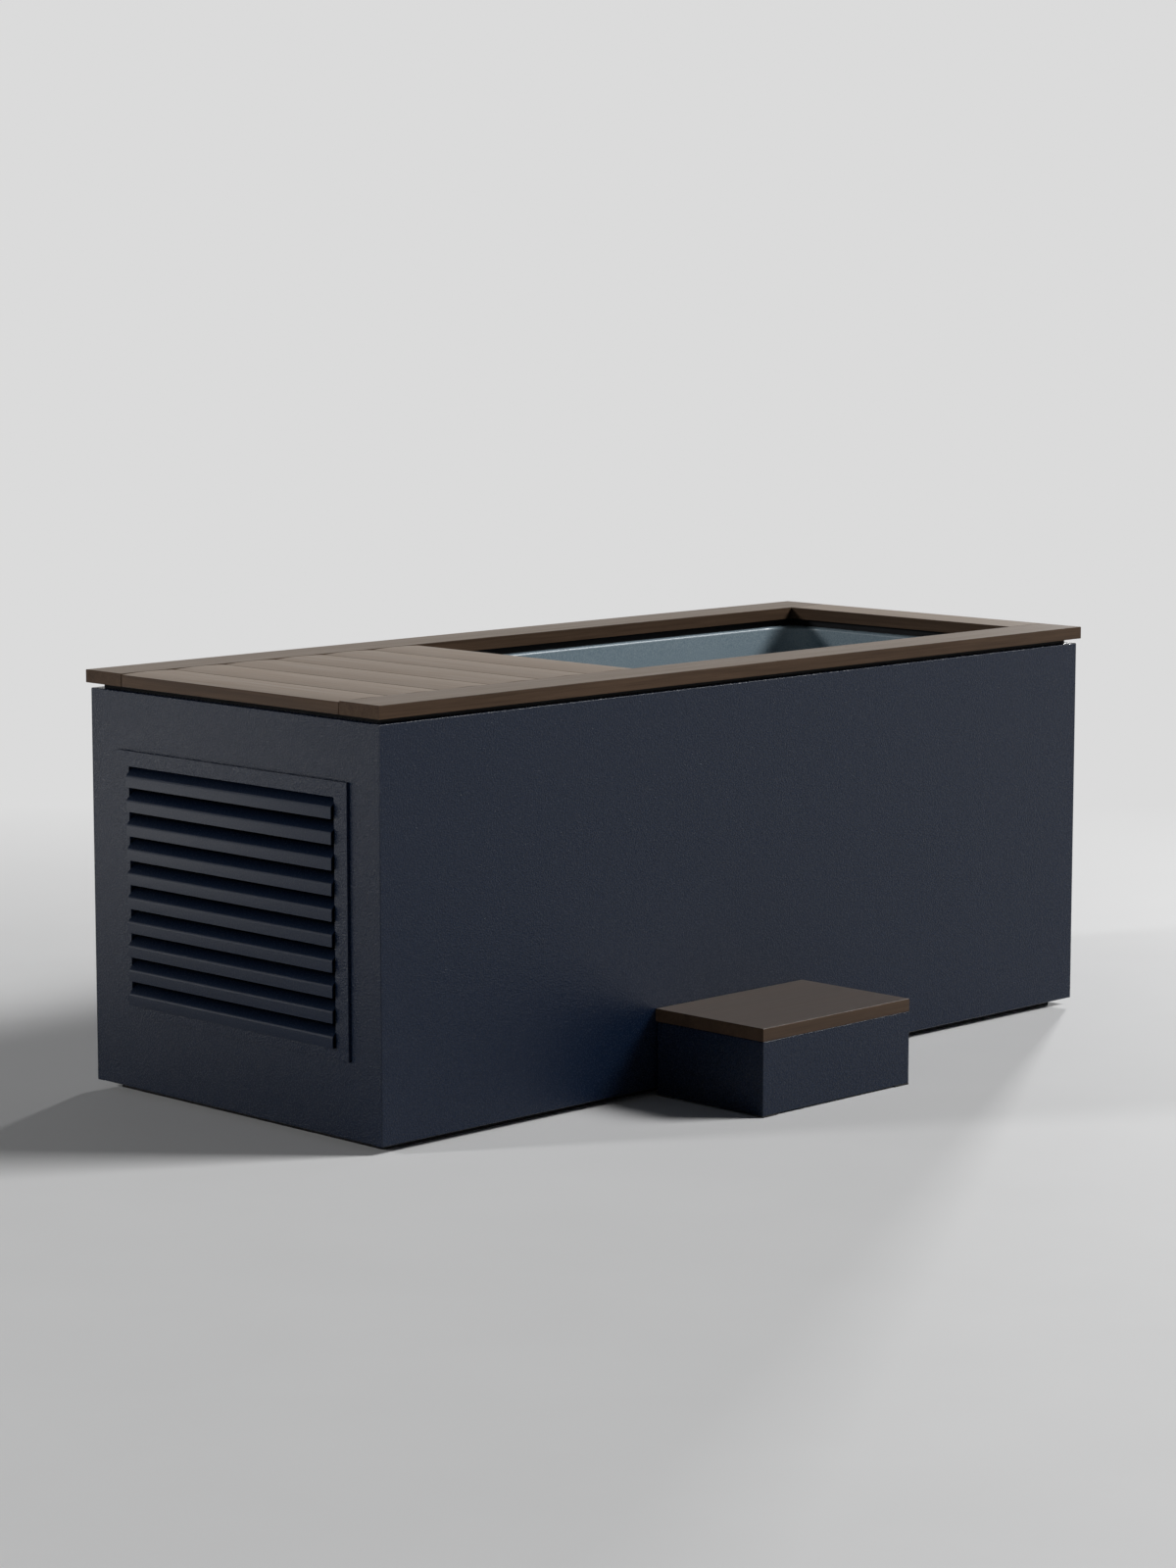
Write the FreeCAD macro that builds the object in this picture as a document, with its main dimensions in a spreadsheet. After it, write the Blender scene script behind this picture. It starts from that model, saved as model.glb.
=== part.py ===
import FreeCAD, Part
import math
import os
import Sketcher
from FreeCAD import Placement, Rotation, Vector
from types import SimpleNamespace

# Cold plunge tub: a case of folded steel panels with a wood rim, an insulated liner at one end and, at the
# other, an equipment bay with chiller, pump and filter under a hinged wood deck. A step stands in front.
# Millimetres. +X runs from the louvre end to the tub end, +Y from front to rear, +Z up.
# The origin is the centre of the base's underside, on the floor.

SIZES = {
    # Case of folded steel sheet, standing clear of the floor on an inset base
    "case_length": 2000.0,
    "case_width": 828.0,
    "panel_height": 770.0,
    "base_gap": 14.0,
    "sheet": 3.0,
    "panel_return": 15.0,
    "pan_inset": 30.0,
    "pan_thickness": 20.0,
    "pan_corner": 12.0,
    # Frame of square tube
    "tube_size": 40.0,
    "tube_wall": 3.0,
    # Wood rim over a black shadow gap
    "shadow_gap": 10.0,
    "rim_thickness": 25.0,
    "rim_overhang": 7.0,
    "rail_width": 108.0,
    "rim_round": 1.5,
    # Spacer that carries the rim and the deck
    "neck_setback": 16.0,
    "neck_bar": 42.0,
    "hatch_ledge": 23.0,
    # Deck of crowned boards, lifted as one hatch
    "deck_length": 767.0,
    "board_count": 6,
    "board_gap": 1.2,
    "board_crown": 2.0,
    "hatch_side_gap": 1.5,
    "seat_clearance": 0.3,
    "batten_spacing": 360.0,
    "batten_width": 45.0,
    "batten_thickness": 22.0,
    "batten_end_gap": 10.0,
    "screw_radius": 2.0,
    "screw_head_radius": 4.5,
    "screw_head_height": 3.0,
    "screw_bite": 14.0,
    "screw_clearance": 0.2,
    # Butt hinges under the deck's tub edge
    "hinge_count": 3,
    "hinge_spacing": 220.0,
    "hinge_inset": 5.0,
    "knuckle_radius": 4.5,
    "knuckle_length": 16.0,
    "knuckle_count": 5,
    "knuckle_gap": 0.4,
    "leaf_thickness": 2.0,
    "leaf_length": 40.0,
    "pin_radius": 1.5,
    "pin_clearance": 0.05,
    # Liner and its insulation
    "lip_drop": 16.0,
    "lip_reveal": 8.0,
    "liner_wall": 5.0,
    "flange_edge": 6.0,
    "basin_floor": 130.0,
    "basin_draft": 25.0,
    "basin_corner": 90.0,
    "basin_fillet": 60.0,
    # Bulkhead between the bay and the tub
    "bay_setback": 76.0,
    "bulkhead_thickness": 6.0,
    # Louvre in the end panel
    "louvre_width": 660.0,
    "louvre_height": 514.0,
    "louvre_base": 158.0,
    "louvre_side": 35.0,
    "louvre_head": 30.0,
    "louvre_sill": 22.0,
    "louvre_proud": 6.0,
    "louvre_depth": 45.0,
    "louvre_wall": 2.0,
    "cutout_clearance": 0.5,
    "blade_count": 10,
    "blade_head_gap": 17.0,
    "blade_lip": 22.0,
    "blade_reach": 7.5,
    "blade_run": 44.0,
    "blade_thickness": 2.0,
    # Chiller
    "tray_wall": 2.0,
    "tray_upstand": 25.0,
    "tray_margin": 8.0,
    "coil_gap": 10.0,
    "coil_depth": 40.0,
    "coil_width": 520.0,
    "coil_height": 500.0,
    "coil_plate": 4.0,
    "coil_plate_step": 3.0,
    "shroud_depth": 37.0,
    "shroud_wall": 2.0,
    "fan_radius": 200.0,
    "fan_tip_gap": 8.0,
    "fan_hub_radius": 42.0,
    "fan_hub_depth": 28.0,
    "fan_blade_count": 5,
    "fan_blade_chord": 80.0,
    "fan_blade_thickness": 3.0,
    "fan_shaft_radius": 5.0,
    "fan_shaft_bite": 45.0,
    "fan_bore_depth": 50.0,
    "spider_width": 40.0,
    "spider_lap": 20.0,
    "spider_gap": 3.0,
    "spider_thickness": 4.0,
    "fan_motor_radius": 40.0,
    "fan_motor_length": 70.0,
    "shaft_clearance": 0.05,
    "chiller_gap": 12.0,
    "compressor_radius": 85.0,
    "compressor_height": 220.0,
    "compressor_shoulder": 25.0,
    "compressor_plate": 92.0,
    "compressor_plate_thickness": 4.0,
    "compressor_offset": 160.0,
    "mount_radius": 12.0,
    "mount_height": 15.0,
    "mount_inset": 15.0,
    "cooler_length": 100.0,
    "cooler_width": 110.0,
    "cooler_height": 310.0,
    "copper_radius": 5.0,
    "copper_wall": 1.0,
    "copper_bend": 20.0,
    "copper_rise": 40.0,
    "copper_spread": 25.0,
    # Water circuit
    "water_offset": 165.0,
    "pipe_radius": 19.0,
    "pipe_bend": 40.0,
    "stub_radius": 16.0,
    "stub_bore": 12.0,
    "stub_length": 30.0,
    "pipe_grip": 20.0,
    "pipe_fit": 0.1,
    "filter_standoff": 158.0,
    "filter_radius": 75.0,
    "filter_wall": 4.0,
    "filter_height": 400.0,
    "filter_collar": 7.0,
    "filter_collar_height": 20.0,
    "filter_inlet_height": 310.0,
    "filter_outlet_height": 100.0,
    "cartridge_radius": 60.0,
    "cartridge_core": 20.0,
    "cartridge_head_gap": 25.0,
    "lid_overlap": 4.0,
    "lid_thickness": 28.0,
    "lid_slope": 12.0,
    "lid_spigot": 15.0,
    "lid_spigot_gap": 1.0,
    "lid_bar_length": 120.0,
    "lid_bar_width": 18.0,
    "lid_bar_height": 24.0,
    "pump_standoff": 108.0,
    "pump_height": 90.0,
    "pump_offset": 80.0,
    "volute_radius": 70.0,
    "volute_depth": 60.0,
    "volute_wall": 10.0,
    "impeller_gap": 4.0,
    "impeller_hub": 14.0,
    "impeller_disc": 3.0,
    "vane_count": 6,
    "vane_thickness": 4.0,
    "vane_height": 22.0,
    "pump_shaft_radius": 6.0,
    "pump_shaft_bite": 45.0,
    "pump_bore_depth": 50.0,
    "pump_motor_radius": 55.0,
    "pump_motor_length": 180.0,
    "pump_flange": 10.0,
    "pump_foot_width": 90.0,
    "pump_foot_margin": 30.0,
    "fitting_offset": 40.0,
    "suction_height": 250.0,
    "return_height": 600.0,
    "fitting_flange": 38.0,
    "fitting_flange_thickness": 8.0,
    "fitting_tube": 22.0,
    "fitting_nut": 32.0,
    "fitting_nut_thickness": 14.0,
    "fitting_clearance": 0.2,
    # Drain
    "drain_setback": 150.0,
    "drain_stub": 50.0,
    "drain_stub_radius": 20.0,
    "drain_cover": 4.0,
    "drain_bore": 14.0,
    "drain_radius": 16.0,
    "drain_wall": 3.0,
    "drain_bend": 45.0,
    "drain_standoff": 43.0,
    "valve_length": 65.0,
    "valve_radius": 25.0,
    "valve_collar": 10.0,
    "stem_radius": 8.0,
    "stem_height": 36.0,
    "lever_pin": 4.0,
    "lever_hub": 11.0,
    "lever_hub_height": 9.0,
    "lever_length": 75.0,
    "lever_width": 16.0,
    "lever_thickness": 4.0,
    "port_length": 56.0,
    "port_radius": 18.0,
    "port_bore": 13.0,
    "port_bore_depth": 40.0,
    "port_nut": 26.0,
    "port_nut_thickness": 10.0,
    "port_flange": 28.0,
    "port_flange_thickness": 6.0,
    # Electrics
    "box_depth": 90.0,
    "box_width": 200.0,
    "box_height": 220.0,
    "box_wall": 3.0,
    "box_base": 420.0,
    "box_side": 130.0,
    "box_lid_step": 2.0,
    "inlet_standoff": 180.0,
    "gland_height": 100.0,
    "gland_bore": 4.5,
    "gland_neck": 9.0,
    "gland_nut": 13.0,
    "gland_nut_length": 13.0,
    "gland_collar_length": 8.0,
    "gland_dome_length": 14.0,
    "switch_height": 240.0,
    "bezel_width": 30.0,
    "bezel_height": 44.0,
    "bezel_thickness": 3.0,
    "bezel_wall": 3.0,
    "bezel_lip": 3.0,
    "bezel_depth": 20.0,
    "rocker_gap": 0.3,
    "rocker_swing_gap": 2.0,
    "rocker_back": 2.0,
    "rocker_front": 12.0,
    "rocker_pivot_depth": 8.0,
    "rocker_pin": 1.5,
    "rocker_pin_bite": 2.0,
    "rocker_tilt": 8.0,
    # Step
    "step_length": 422.0,
    "step_depth": 281.0,
    "step_height": 171.0,
    "step_shift": 80.0,
    "step_gap": 0.5,
    "step_top_thickness": 25.0,
    "step_overhang": 5.0,
    "step_wall": 2.5,
    "step_lip": 45.0,
    "step_pad_size": 40.0,
    "step_pad_thickness": 3.0,
}

MOUNT_COUNT = 3
FAN_PITCH = 20.0
DIAGONAL = 2.0 ** 0.5
AXIS_TURN = {
    "X": Rotation(Vector(0, 1, 0), 90),
    "Y": Rotation(Vector(1, 0, 0), -90),
    "Z": Rotation(),
}

doc = FreeCAD.newDocument("cold_plunge_tub")
sheet = doc.addObject("Spreadsheet::Sheet", "dims")
for row, (alias, amount) in enumerate(SIZES.items(), 1):
    sheet.set(f"A{row}", alias)
    sheet.set(f"B{row}", str(amount))
    sheet.setAlias(f"B{row}", alias)
doc.recompute()


class Size:
    """A length that carries its expression in the sheet and its present value."""

    def __init__(self, text, value):
        self.text = text
        self.value = value

    def __add__(self, other):
        other = as_size(other)
        return Size(f"({self.text} + {other.text})", self.value + other.value)

    def __sub__(self, other):
        other = as_size(other)
        return Size(f"({self.text} - {other.text})", self.value - other.value)

    def __mul__(self, other):
        other = as_size(other)
        return Size(f"({self.text} * {other.text})", self.value * other.value)

    def __truediv__(self, other):
        other = as_size(other)
        return Size(f"({self.text} / {other.text})", self.value / other.value)

    def __neg__(self):
        return Size(f"(-1 * {self.text})", -self.value)

    __radd__ = __add__
    __rmul__ = __mul__


def as_size(value):
    """A plain number as a Size; a Size as it is."""
    if isinstance(value, Size):
        return value
    return Size(f"({float(value):.9f})", float(value))


def both_sides(half):
    """The span from -half to +half."""
    return (-half, half)


def around(centre, width):
    """The span of the given width about a centre."""
    return (centre - width / 2, centre + width / 2)


dim = SimpleNamespace(**{alias: Size(f"dims.{alias}", sheet.get(alias)) for alias in SIZES})
ZERO = as_size(0)

# Places that several pieces share, worked out from the driving dimensions
left = -dim.case_length / 2
right = dim.case_length / 2
half_width = dim.case_width / 2
inner_left = left + dim.sheet
inner_right = right - dim.sheet
inner_half = half_width - dim.sheet
fold_left = inner_left + dim.panel_return
fold_right = inner_right - dim.panel_return
fold_half = inner_half - dim.panel_return
panel_top = dim.base_gap + dim.panel_height
rim_under = panel_top + dim.shadow_gap
rim_top = rim_under + dim.rim_thickness
rim_left = left - dim.rim_overhang
rim_right = right + dim.rim_overhang
rim_half = half_width + dim.rim_overhang
well_half = rim_half - dim.rail_width
well_right = rim_right - dim.rail_width
deck_edge = rim_left + dim.deck_length
flange_top = rim_under - dim.lip_drop
flange_under = flange_top - dim.liner_wall
base_rail_top = dim.pan_thickness + dim.tube_size
top_rail_low = flange_under - dim.tube_size
rail_in_half = inner_half - dim.tube_size
bay_wall = deck_edge - dim.bay_setback
bulkhead_face = bay_wall - dim.bulkhead_thickness
foam_left = bay_wall + dim.tube_size
foam_right = inner_right - dim.tube_size
basin_left = deck_edge - dim.lip_reveal
basin_right = well_right + dim.lip_reveal
basin_half = well_half + dim.lip_reveal
basin_depth = flange_top - dim.basin_floor
hinge_x = deck_edge - dim.hinge_inset
hinge_z = rim_under - dim.knuckle_radius
neck_face = hinge_x - dim.knuckle_radius
batten_left = fold_left + dim.neck_bar + dim.batten_end_gap
batten_right = bulkhead_face - dim.batten_end_gap
grille_half = dim.louvre_width / 2 - dim.louvre_side
grille_low = dim.louvre_base + dim.louvre_sill
grille_high = dim.louvre_base + dim.louvre_height - dim.louvre_head
louvre_face = left - dim.louvre_proud
louvre_back = left + dim.louvre_depth
tray_top = dim.pan_thickness + dim.tray_wall
coil_front = louvre_back + dim.coil_gap
coil_back = coil_front + dim.coil_depth
coil_top = tray_top + dim.coil_height
shroud_back = coil_back + dim.shroud_depth
spider_back = shroud_back + dim.spider_thickness
fan_x = coil_back + dim.shroud_depth / 2
fan_z = tray_top + dim.coil_height / 2
compressor_x = shroud_back + dim.chiller_gap + dim.compressor_plate
compressor_top = tray_top + dim.mount_height + dim.compressor_height
cooler_right = compressor_x + dim.cooler_length / 2
cooler_top = tray_top + dim.cooler_height
tray_right = compressor_x + dim.compressor_plate + dim.tray_margin
water_low = dim.pan_thickness + dim.filter_outlet_height
filter_x = bulkhead_face - dim.filter_standoff
filter_top = dim.pan_thickness + dim.filter_height
filter_inlet_z = dim.pan_thickness + dim.filter_inlet_height
pump_x = bulkhead_face - dim.pump_standoff
pump_z = dim.pan_thickness + dim.pump_height
volute_front = -dim.pump_offset - dim.volute_depth / 2
volute_back = -dim.pump_offset + dim.volute_depth / 2
drain_x = basin_left + dim.drain_setback
drain_z = (base_rail_top + dim.basin_floor - dim.liner_wall) / 2
drain_line_x = bulkhead_face - dim.drain_standoff
valve_back = inner_half - dim.port_length
valve_front = valve_back - dim.valve_length
valve_mid = valve_back - dim.valve_length / 2
inlet_x = bulkhead_face - dim.inlet_standoff
bezel_in_width = dim.bezel_width - 2 * dim.bezel_lip
bezel_in_height = dim.bezel_height - 2 * dim.bezel_lip
step_back = -half_width - dim.step_gap
step_front = step_back - dim.step_depth
step_top_low = dim.step_height - dim.step_top_thickness

nodes = []


def keep(label, piece):
    """Names a finished piece after the node that it becomes."""
    piece.Label = label
    nodes.append(piece)
    return piece


def bind(piece, path, value):
    """Ties one property of a piece to the sheet."""
    piece.setExpression(path, as_size(value).text)


def put(piece, x, y, z):
    """Ties a piece's place to the sheet."""
    bind(piece, "Placement.Base.x", x)
    bind(piece, "Placement.Base.y", y)
    bind(piece, "Placement.Base.z", z)


def block(x, y, z, name="block"):
    """A rectangular block between low and high places along each axis."""
    piece = doc.addObject("Part::Box", name)
    bind(piece, "Length", x[1] - x[0])
    bind(piece, "Width", y[1] - y[0])
    bind(piece, "Height", z[1] - z[0])
    put(piece, x[0], y[0], z[0])
    return piece


def rod(axis, centre, span, radius, name="rod"):
    """A round bar along an axis; centre gives its place on the other two axes, in order."""
    piece = doc.addObject("Part::Cylinder", name)
    bind(piece, "Radius", radius)
    bind(piece, "Height", span[1] - span[0])
    piece.Placement = Placement(Vector(), AXIS_TURN[axis])
    place = list(centre)
    place.insert("XYZ".index(axis), span[0])
    put(piece, *place)
    return piece


def turned_block(centre, turn, x, y, z, name="blade"):
    """A block given about its own centre, turned and then moved to that centre."""
    piece = doc.addObject("Part::Box", name)
    bind(piece, "Length", x[1] - x[0])
    bind(piece, "Width", y[1] - y[0])
    bind(piece, "Height", z[1] - z[0])
    piece.Placement = Placement(Vector(), turn)
    arms = [turn.multVec(Vector(*unit)) for unit in ((1, 0, 0), (0, 1, 0), (0, 0, 1))]
    place = []
    for row in range(3):
        reach = x[0] * arms[0][row] + y[0] * arms[1][row] + z[0] * arms[2][row]
        place.append(reach + centre[row])
    put(piece, *place)
    return piece


def fuse(pieces, name="joined"):
    """Several solids welded into one."""
    piece = doc.addObject("Part::MultiFuse", name)
    piece.Shapes = pieces
    piece.Refine = True
    return piece


def cut(base, tools, name="cut"):
    """A solid less the tools."""
    piece = base
    for tool in tools:
        trimmed = doc.addObject("Part::Cut", name)
        trimmed.Base = piece
        trimmed.Tool = tool
        piece = trimmed
    return piece


def common(base, tool, name="common"):
    """What two solids share."""
    piece = doc.addObject("Part::Common", name)
    piece.Base = base
    piece.Tool = tool
    return piece


def group(pieces, name="group"):
    """Separate solids that share one node."""
    piece = doc.addObject("Part::Compound", name)
    piece.Links = pieces
    return piece


def plane_of(body, role):
    """One of a body's own origin planes or axes."""
    return next(feature for feature in body.Origin.OriginFeatures if feature.Role == role)


def outline(body, role, points):
    """A closed straight-sided sketch whose corners are tied to the sheet."""
    sketch = body.newObject("Sketcher::SketchObject", body.Name + "_outline")
    sketch.AttachmentSupport = [(plane_of(body, role), "")]
    sketch.MapMode = "FlatFace"
    corners = [(as_size(across), as_size(up)) for across, up in points]
    count = len(corners)
    for index in range(count):
        start = corners[index]
        end = corners[(index + 1) % count]
        sketch.addGeometry(Part.LineSegment(
            Vector(start[0].value, start[1].value, 0),
            Vector(end[0].value, end[1].value, 0)))
    for index in range(count):
        sketch.addConstraint(Sketcher.Constraint("Coincident", index, 2, (index + 1) % count, 1))
    for index, corner in enumerate(corners):
        for kind, axis, place in (("DistanceX", -2, corner[0]), ("DistanceY", -1, corner[1])):
            if place.text == ZERO.text:
                sketch.addConstraint(Sketcher.Constraint("PointOnObject", index, 1, axis))
                continue
            tie = sketch.addConstraint(Sketcher.Constraint(kind, -1, 1, index, 1, place.value))
            sketch.setExpression(f"Constraints[{tie}]", place.text)
    return sketch


def extruded(name, role, points, start, length):
    """A body padded from a sketch that stands at start along its plane's normal."""
    body = doc.addObject("PartDesign::Body", name)
    sketch = outline(body, role, points)
    bind(sketch, "AttachmentOffset.Base.z", start)
    pad = body.newObject("PartDesign::Pad", name + "_pad")
    pad.Profile = sketch
    bind(pad, "Length", length)
    return body


def turned(name, axis, centre, points):
    """A body turned about an axis from (radius, place along the axis) points."""
    body = doc.addObject("PartDesign::Body", name)
    sketch = outline(body, "XZ_Plane", points)
    spin = body.newObject("PartDesign::Revolution", name + "_turn")
    spin.Profile = sketch
    spin.ReferenceAxis = (sketch, ["V_Axis"])
    spin.Angle = 360
    body.Placement = Placement(Vector(), AXIS_TURN[axis])
    place = list(centre)
    place.insert("XYZ".index(axis), ZERO)
    put(body, *place)
    return body


def rectangle(x, y):
    """The four corners of a rectangle."""
    return [(x[0], y[0]), (x[1], y[0]), (x[1], y[1]), (x[0], y[1])]


def rounded(body, wanted, radius):
    """Rounds the edges of a body's last feature that the test picks out."""
    doc.recompute()
    base = body.Tip
    names = [f"Edge{index + 1}" for index, edge in enumerate(base.Shape.Edges) if wanted(edge)]
    fillet = body.newObject("PartDesign::Fillet", body.Name + "_round")
    fillet.Base = (base, names)
    bind(fillet, "Radius", radius)
    return body


def rises(edge):
    """Whether an edge climbs."""
    return edge.BoundBox.ZLength > edge.BoundBox.XLength + edge.BoundBox.YLength


def board(name, x, y, z):
    """A plank with its top edges eased."""
    body = extruded(name, "XY_Plane", rectangle(x, y), z[0], z[1] - z[0])
    top = z[1].value
    return rounded(body, lambda edge: edge.BoundBox.ZMin > top - dim.rim_round.value, dim.rim_round)


def pipe(points, radius, bore, bend, name="pipe"):
    """A tube along straight runs joined by tangent arcs."""
    corners = [Vector(*(as_size(place).value for place in point)) for point in points]
    edges = []
    start = corners[0]
    for before, corner, after in zip(corners, corners[1:], corners[2:]):
        back = (before - corner).normalize()
        onward = (after - corner).normalize()
        half_angle = back.getAngle(onward) / 2
        inward = (back + onward).normalize()
        entry = corner + back * (bend.value / math.tan(half_angle))
        middle = corner + inward * (bend.value / math.sin(half_angle) - bend.value)
        leave = corner + onward * (bend.value / math.tan(half_angle))
        edges.append(Part.LineSegment(start, entry).toShape())
        edges.append(Part.Arc(entry, middle, leave).toShape())
        start = leave
    edges.append(Part.LineSegment(start, corners[-1]).toShape())
    path = Part.Wire(edges)
    heading = corners[1] - corners[0]
    walls = []
    for circle in (radius.value, bore.value):
        ring = Part.Wire(Part.makeCircle(circle, corners[0], heading))
        walls.append(path.makePipeShell([ring], True, False))
    piece = doc.addObject("Part::Feature", name)
    piece.Shape = walls[0].cut(walls[1])
    section = math.pi * (radius.value ** 2 - bore.value ** 2)
    print(f"{name}: volume is {piece.Shape.Volume / (section * path.Length):.4f} of section times length")
    return piece


def base_and_frame():
    """The black base tray and the frame of square tube that stands on it."""
    length = (left + dim.pan_inset, right - dim.pan_inset)
    width = both_sides(half_width - dim.pan_inset)
    pan = extruded("pan", "XY_Plane", rectangle(length, width), ZERO, dim.pan_thickness)
    keep("base_pan", rounded(pan, rises, dim.pan_corner))

    stations = [
        (inner_left, inner_left + dim.tube_size),
        (bay_wall, foam_left),
        (foam_right, inner_right),
    ]
    sides = [(-inner_half, -rail_in_half), (rail_in_half, inner_half)]
    between = both_sides(rail_in_half)
    posts = []
    for station in stations:
        for side in sides:
            posts.append(tube("Z", station, side, (base_rail_top, top_rail_low)))
    keep("frame_posts", group(posts))
    for label, level in (
        ("frame_base_rails", (dim.pan_thickness, base_rail_top)),
        ("frame_top_rails", (top_rail_low, flange_under)),
    ):
        rails = [tube("X", (inner_left, inner_right), side, level) for side in sides]
        rails += [tube("Y", station, between, level) for station in stations]
        keep(label, group(rails))


def tube(axis, x, y, z):
    """One length of square tube, open at both ends."""
    spans = []
    for name, span in zip("XYZ", (x, y, z)):
        wall = ZERO if name == axis else dim.tube_wall
        spans.append((span[0] + wall, span[1] - wall))
    return cut(block(x, y, z), [block(*spans)], "tube")


def side_panel(name, side):
    """A long panel of folded sheet: one face with a return along its top and bottom edges."""
    face = half_width * side
    inner = inner_half * side
    fold = fold_half * side
    points = [
        (face, dim.base_gap),
        (face, panel_top),
        (fold, panel_top),
        (fold, panel_top - dim.sheet),
        (inner, panel_top - dim.sheet),
        (inner, dim.base_gap + dim.sheet),
        (fold, dim.base_gap + dim.sheet),
        (fold, dim.base_gap),
    ]
    return extruded(name, "YZ_Plane", points, left, dim.case_length)


def end_panel(face, inner, fold):
    """A short panel between the long ones, folded the same way."""
    low, high = (face, inner) if face.value < inner.value else (inner, face)
    fold_low, fold_high = (inner, fold) if inner.value < fold.value else (fold, inner)
    skin = block((low, high), both_sides(inner_half), (dim.base_gap, panel_top))
    returns = []
    for level in ((dim.base_gap, dim.base_gap + dim.sheet), (panel_top - dim.sheet, panel_top)):
        returns.append(block((fold_low, fold_high), both_sides(fold_half), level))
    return fuse([skin] + returns)


def panels():
    """The four painted panels, with the rear one pierced for drain, cable and switch."""
    front = keep("front_panel", side_panel("front", -1))
    wall = (inner_half, half_width)
    bezel_room = 2 * dim.cutout_clearance
    openings = [
        rod("Y", (drain_line_x, drain_z), wall, dim.port_radius + dim.cutout_clearance),
        rod("Y", (inlet_x, dim.gland_height), wall, dim.gland_neck + dim.cutout_clearance),
        block(around(inlet_x, bezel_in_width + bezel_room), wall,
              around(dim.switch_height, bezel_in_height + bezel_room)),
    ]
    rear = keep("rear_panel", cut(side_panel("rear", 1), openings))
    sleeve = dim.louvre_wall + dim.cutout_clearance
    vent = block((left, inner_left), both_sides(grille_half + sleeve),
                 (grille_low - sleeve, grille_high + sleeve))
    folds = [front, rear]
    keep("louvre_end_panel", cut(end_panel(left, inner_left, fold_left), [vent, *folds]))
    keep("plain_end_panel", cut(end_panel(right, inner_right, fold_right), folds))


def louvre():
    """The louvre's frame, let into the end panel, and its row of sloping blades."""
    flange = block((louvre_face, left), both_sides(dim.louvre_width / 2),
                   (dim.louvre_base, dim.louvre_base + dim.louvre_height))
    sleeve = block((left, louvre_back), both_sides(grille_half + dim.louvre_wall),
                   (grille_low - dim.louvre_wall, grille_high + dim.louvre_wall))
    opening = block((louvre_face, louvre_back), both_sides(grille_half), (grille_low, grille_high))
    keep("louvre_frame", cut(fuse([flange, sleeve]), [opening]))

    lip_face = louvre_face - dim.blade_reach
    lip_top = grille_low + dim.blade_lip
    crest = lip_top + dim.blade_run
    points = [
        (lip_face, grille_low),
        (lip_face, lip_top),
        (lip_face + dim.blade_run, crest),
        (lip_face + dim.blade_run + dim.blade_thickness * DIAGONAL, crest),
        (lip_face + dim.blade_thickness, lip_top - dim.blade_thickness * (DIAGONAL - 1)),
        (lip_face + dim.blade_thickness, grille_low),
    ]
    body = extruded("blades", "XZ_Plane", points, -grille_half, 2 * grille_half)
    rows = body.newObject("PartDesign::LinearPattern", "blade_rows")
    rows.Originals = [body.Tip]
    rows.Direction = (plane_of(body, "Z_Axis"), [""])
    bind(rows, "Length", grille_high - dim.blade_head_gap - lip_top)
    bind(rows, "Occurrences", dim.blade_count)
    body.Tip = rows
    room = block((lip_face, louvre_back), both_sides(grille_half), (grille_low, grille_high))
    keep("louvre_blades", common(body, room))


def basin(name, grow):
    """The tub's hollow, drafted and rounded, grown outwards by a wall."""
    body = doc.addObject("PartDesign::Body", name)
    form = body.newObject("PartDesign::AdditiveWedge", name + "_form")
    ends = (basin_left - grow, basin_right + grow)
    half = basin_half + grow
    for path, place in (
        ("X2min", ends[0]),
        ("X2max", ends[1]),
        ("Xmin", ends[0] + dim.basin_draft),
        ("Xmax", ends[1] - dim.basin_draft),
        ("Ymin", dim.basin_floor - grow),
        ("Ymax", flange_top),
        ("Z2min", -half),
        ("Z2max", half),
        ("Zmin", dim.basin_draft - half),
        ("Zmax", half - dim.basin_draft),
    ):
        bind(form, path, place)
    body.Placement = Placement(Vector(), Rotation(Vector(1, 0, 0), 90))
    rounded(body, lambda edge: edge.BoundBox.YLength > edge.BoundBox.XLength + edge.BoundBox.ZLength,
            dim.basin_corner + grow)
    floor = (dim.basin_floor - grow).value
    rounded(body, lambda edge: edge.BoundBox.YMax < floor + dim.liner_wall.value, dim.basin_fillet + grow)
    return body


def fitting(label, height, liner):
    """A through-wall fitting at the tub's bay end: flange inside, nut and pipe stub in the bay."""
    wall = basin_left + dim.basin_draft * (flange_top - height) / basin_depth
    nut_face = bulkhead_face - dim.fitting_nut_thickness
    points = [
        (dim.stub_bore, wall + dim.fitting_flange_thickness),
        (dim.fitting_flange, wall + dim.fitting_flange_thickness),
        (dim.fitting_flange, wall - dim.liner_wall / 2),
        (dim.fitting_tube, wall - dim.liner_wall / 2),
        (dim.fitting_tube, bulkhead_face),
        (dim.fitting_nut, bulkhead_face),
        (dim.fitting_nut, nut_face),
        (dim.stub_radius, nut_face),
        (dim.stub_radius, nut_face - dim.stub_length),
        (dim.stub_bore, nut_face - dim.stub_length),
    ]
    piece = turned(label + "_form", "X", (dim.fitting_offset, height), points)
    keep(label, cut(piece, [liner]))


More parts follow.
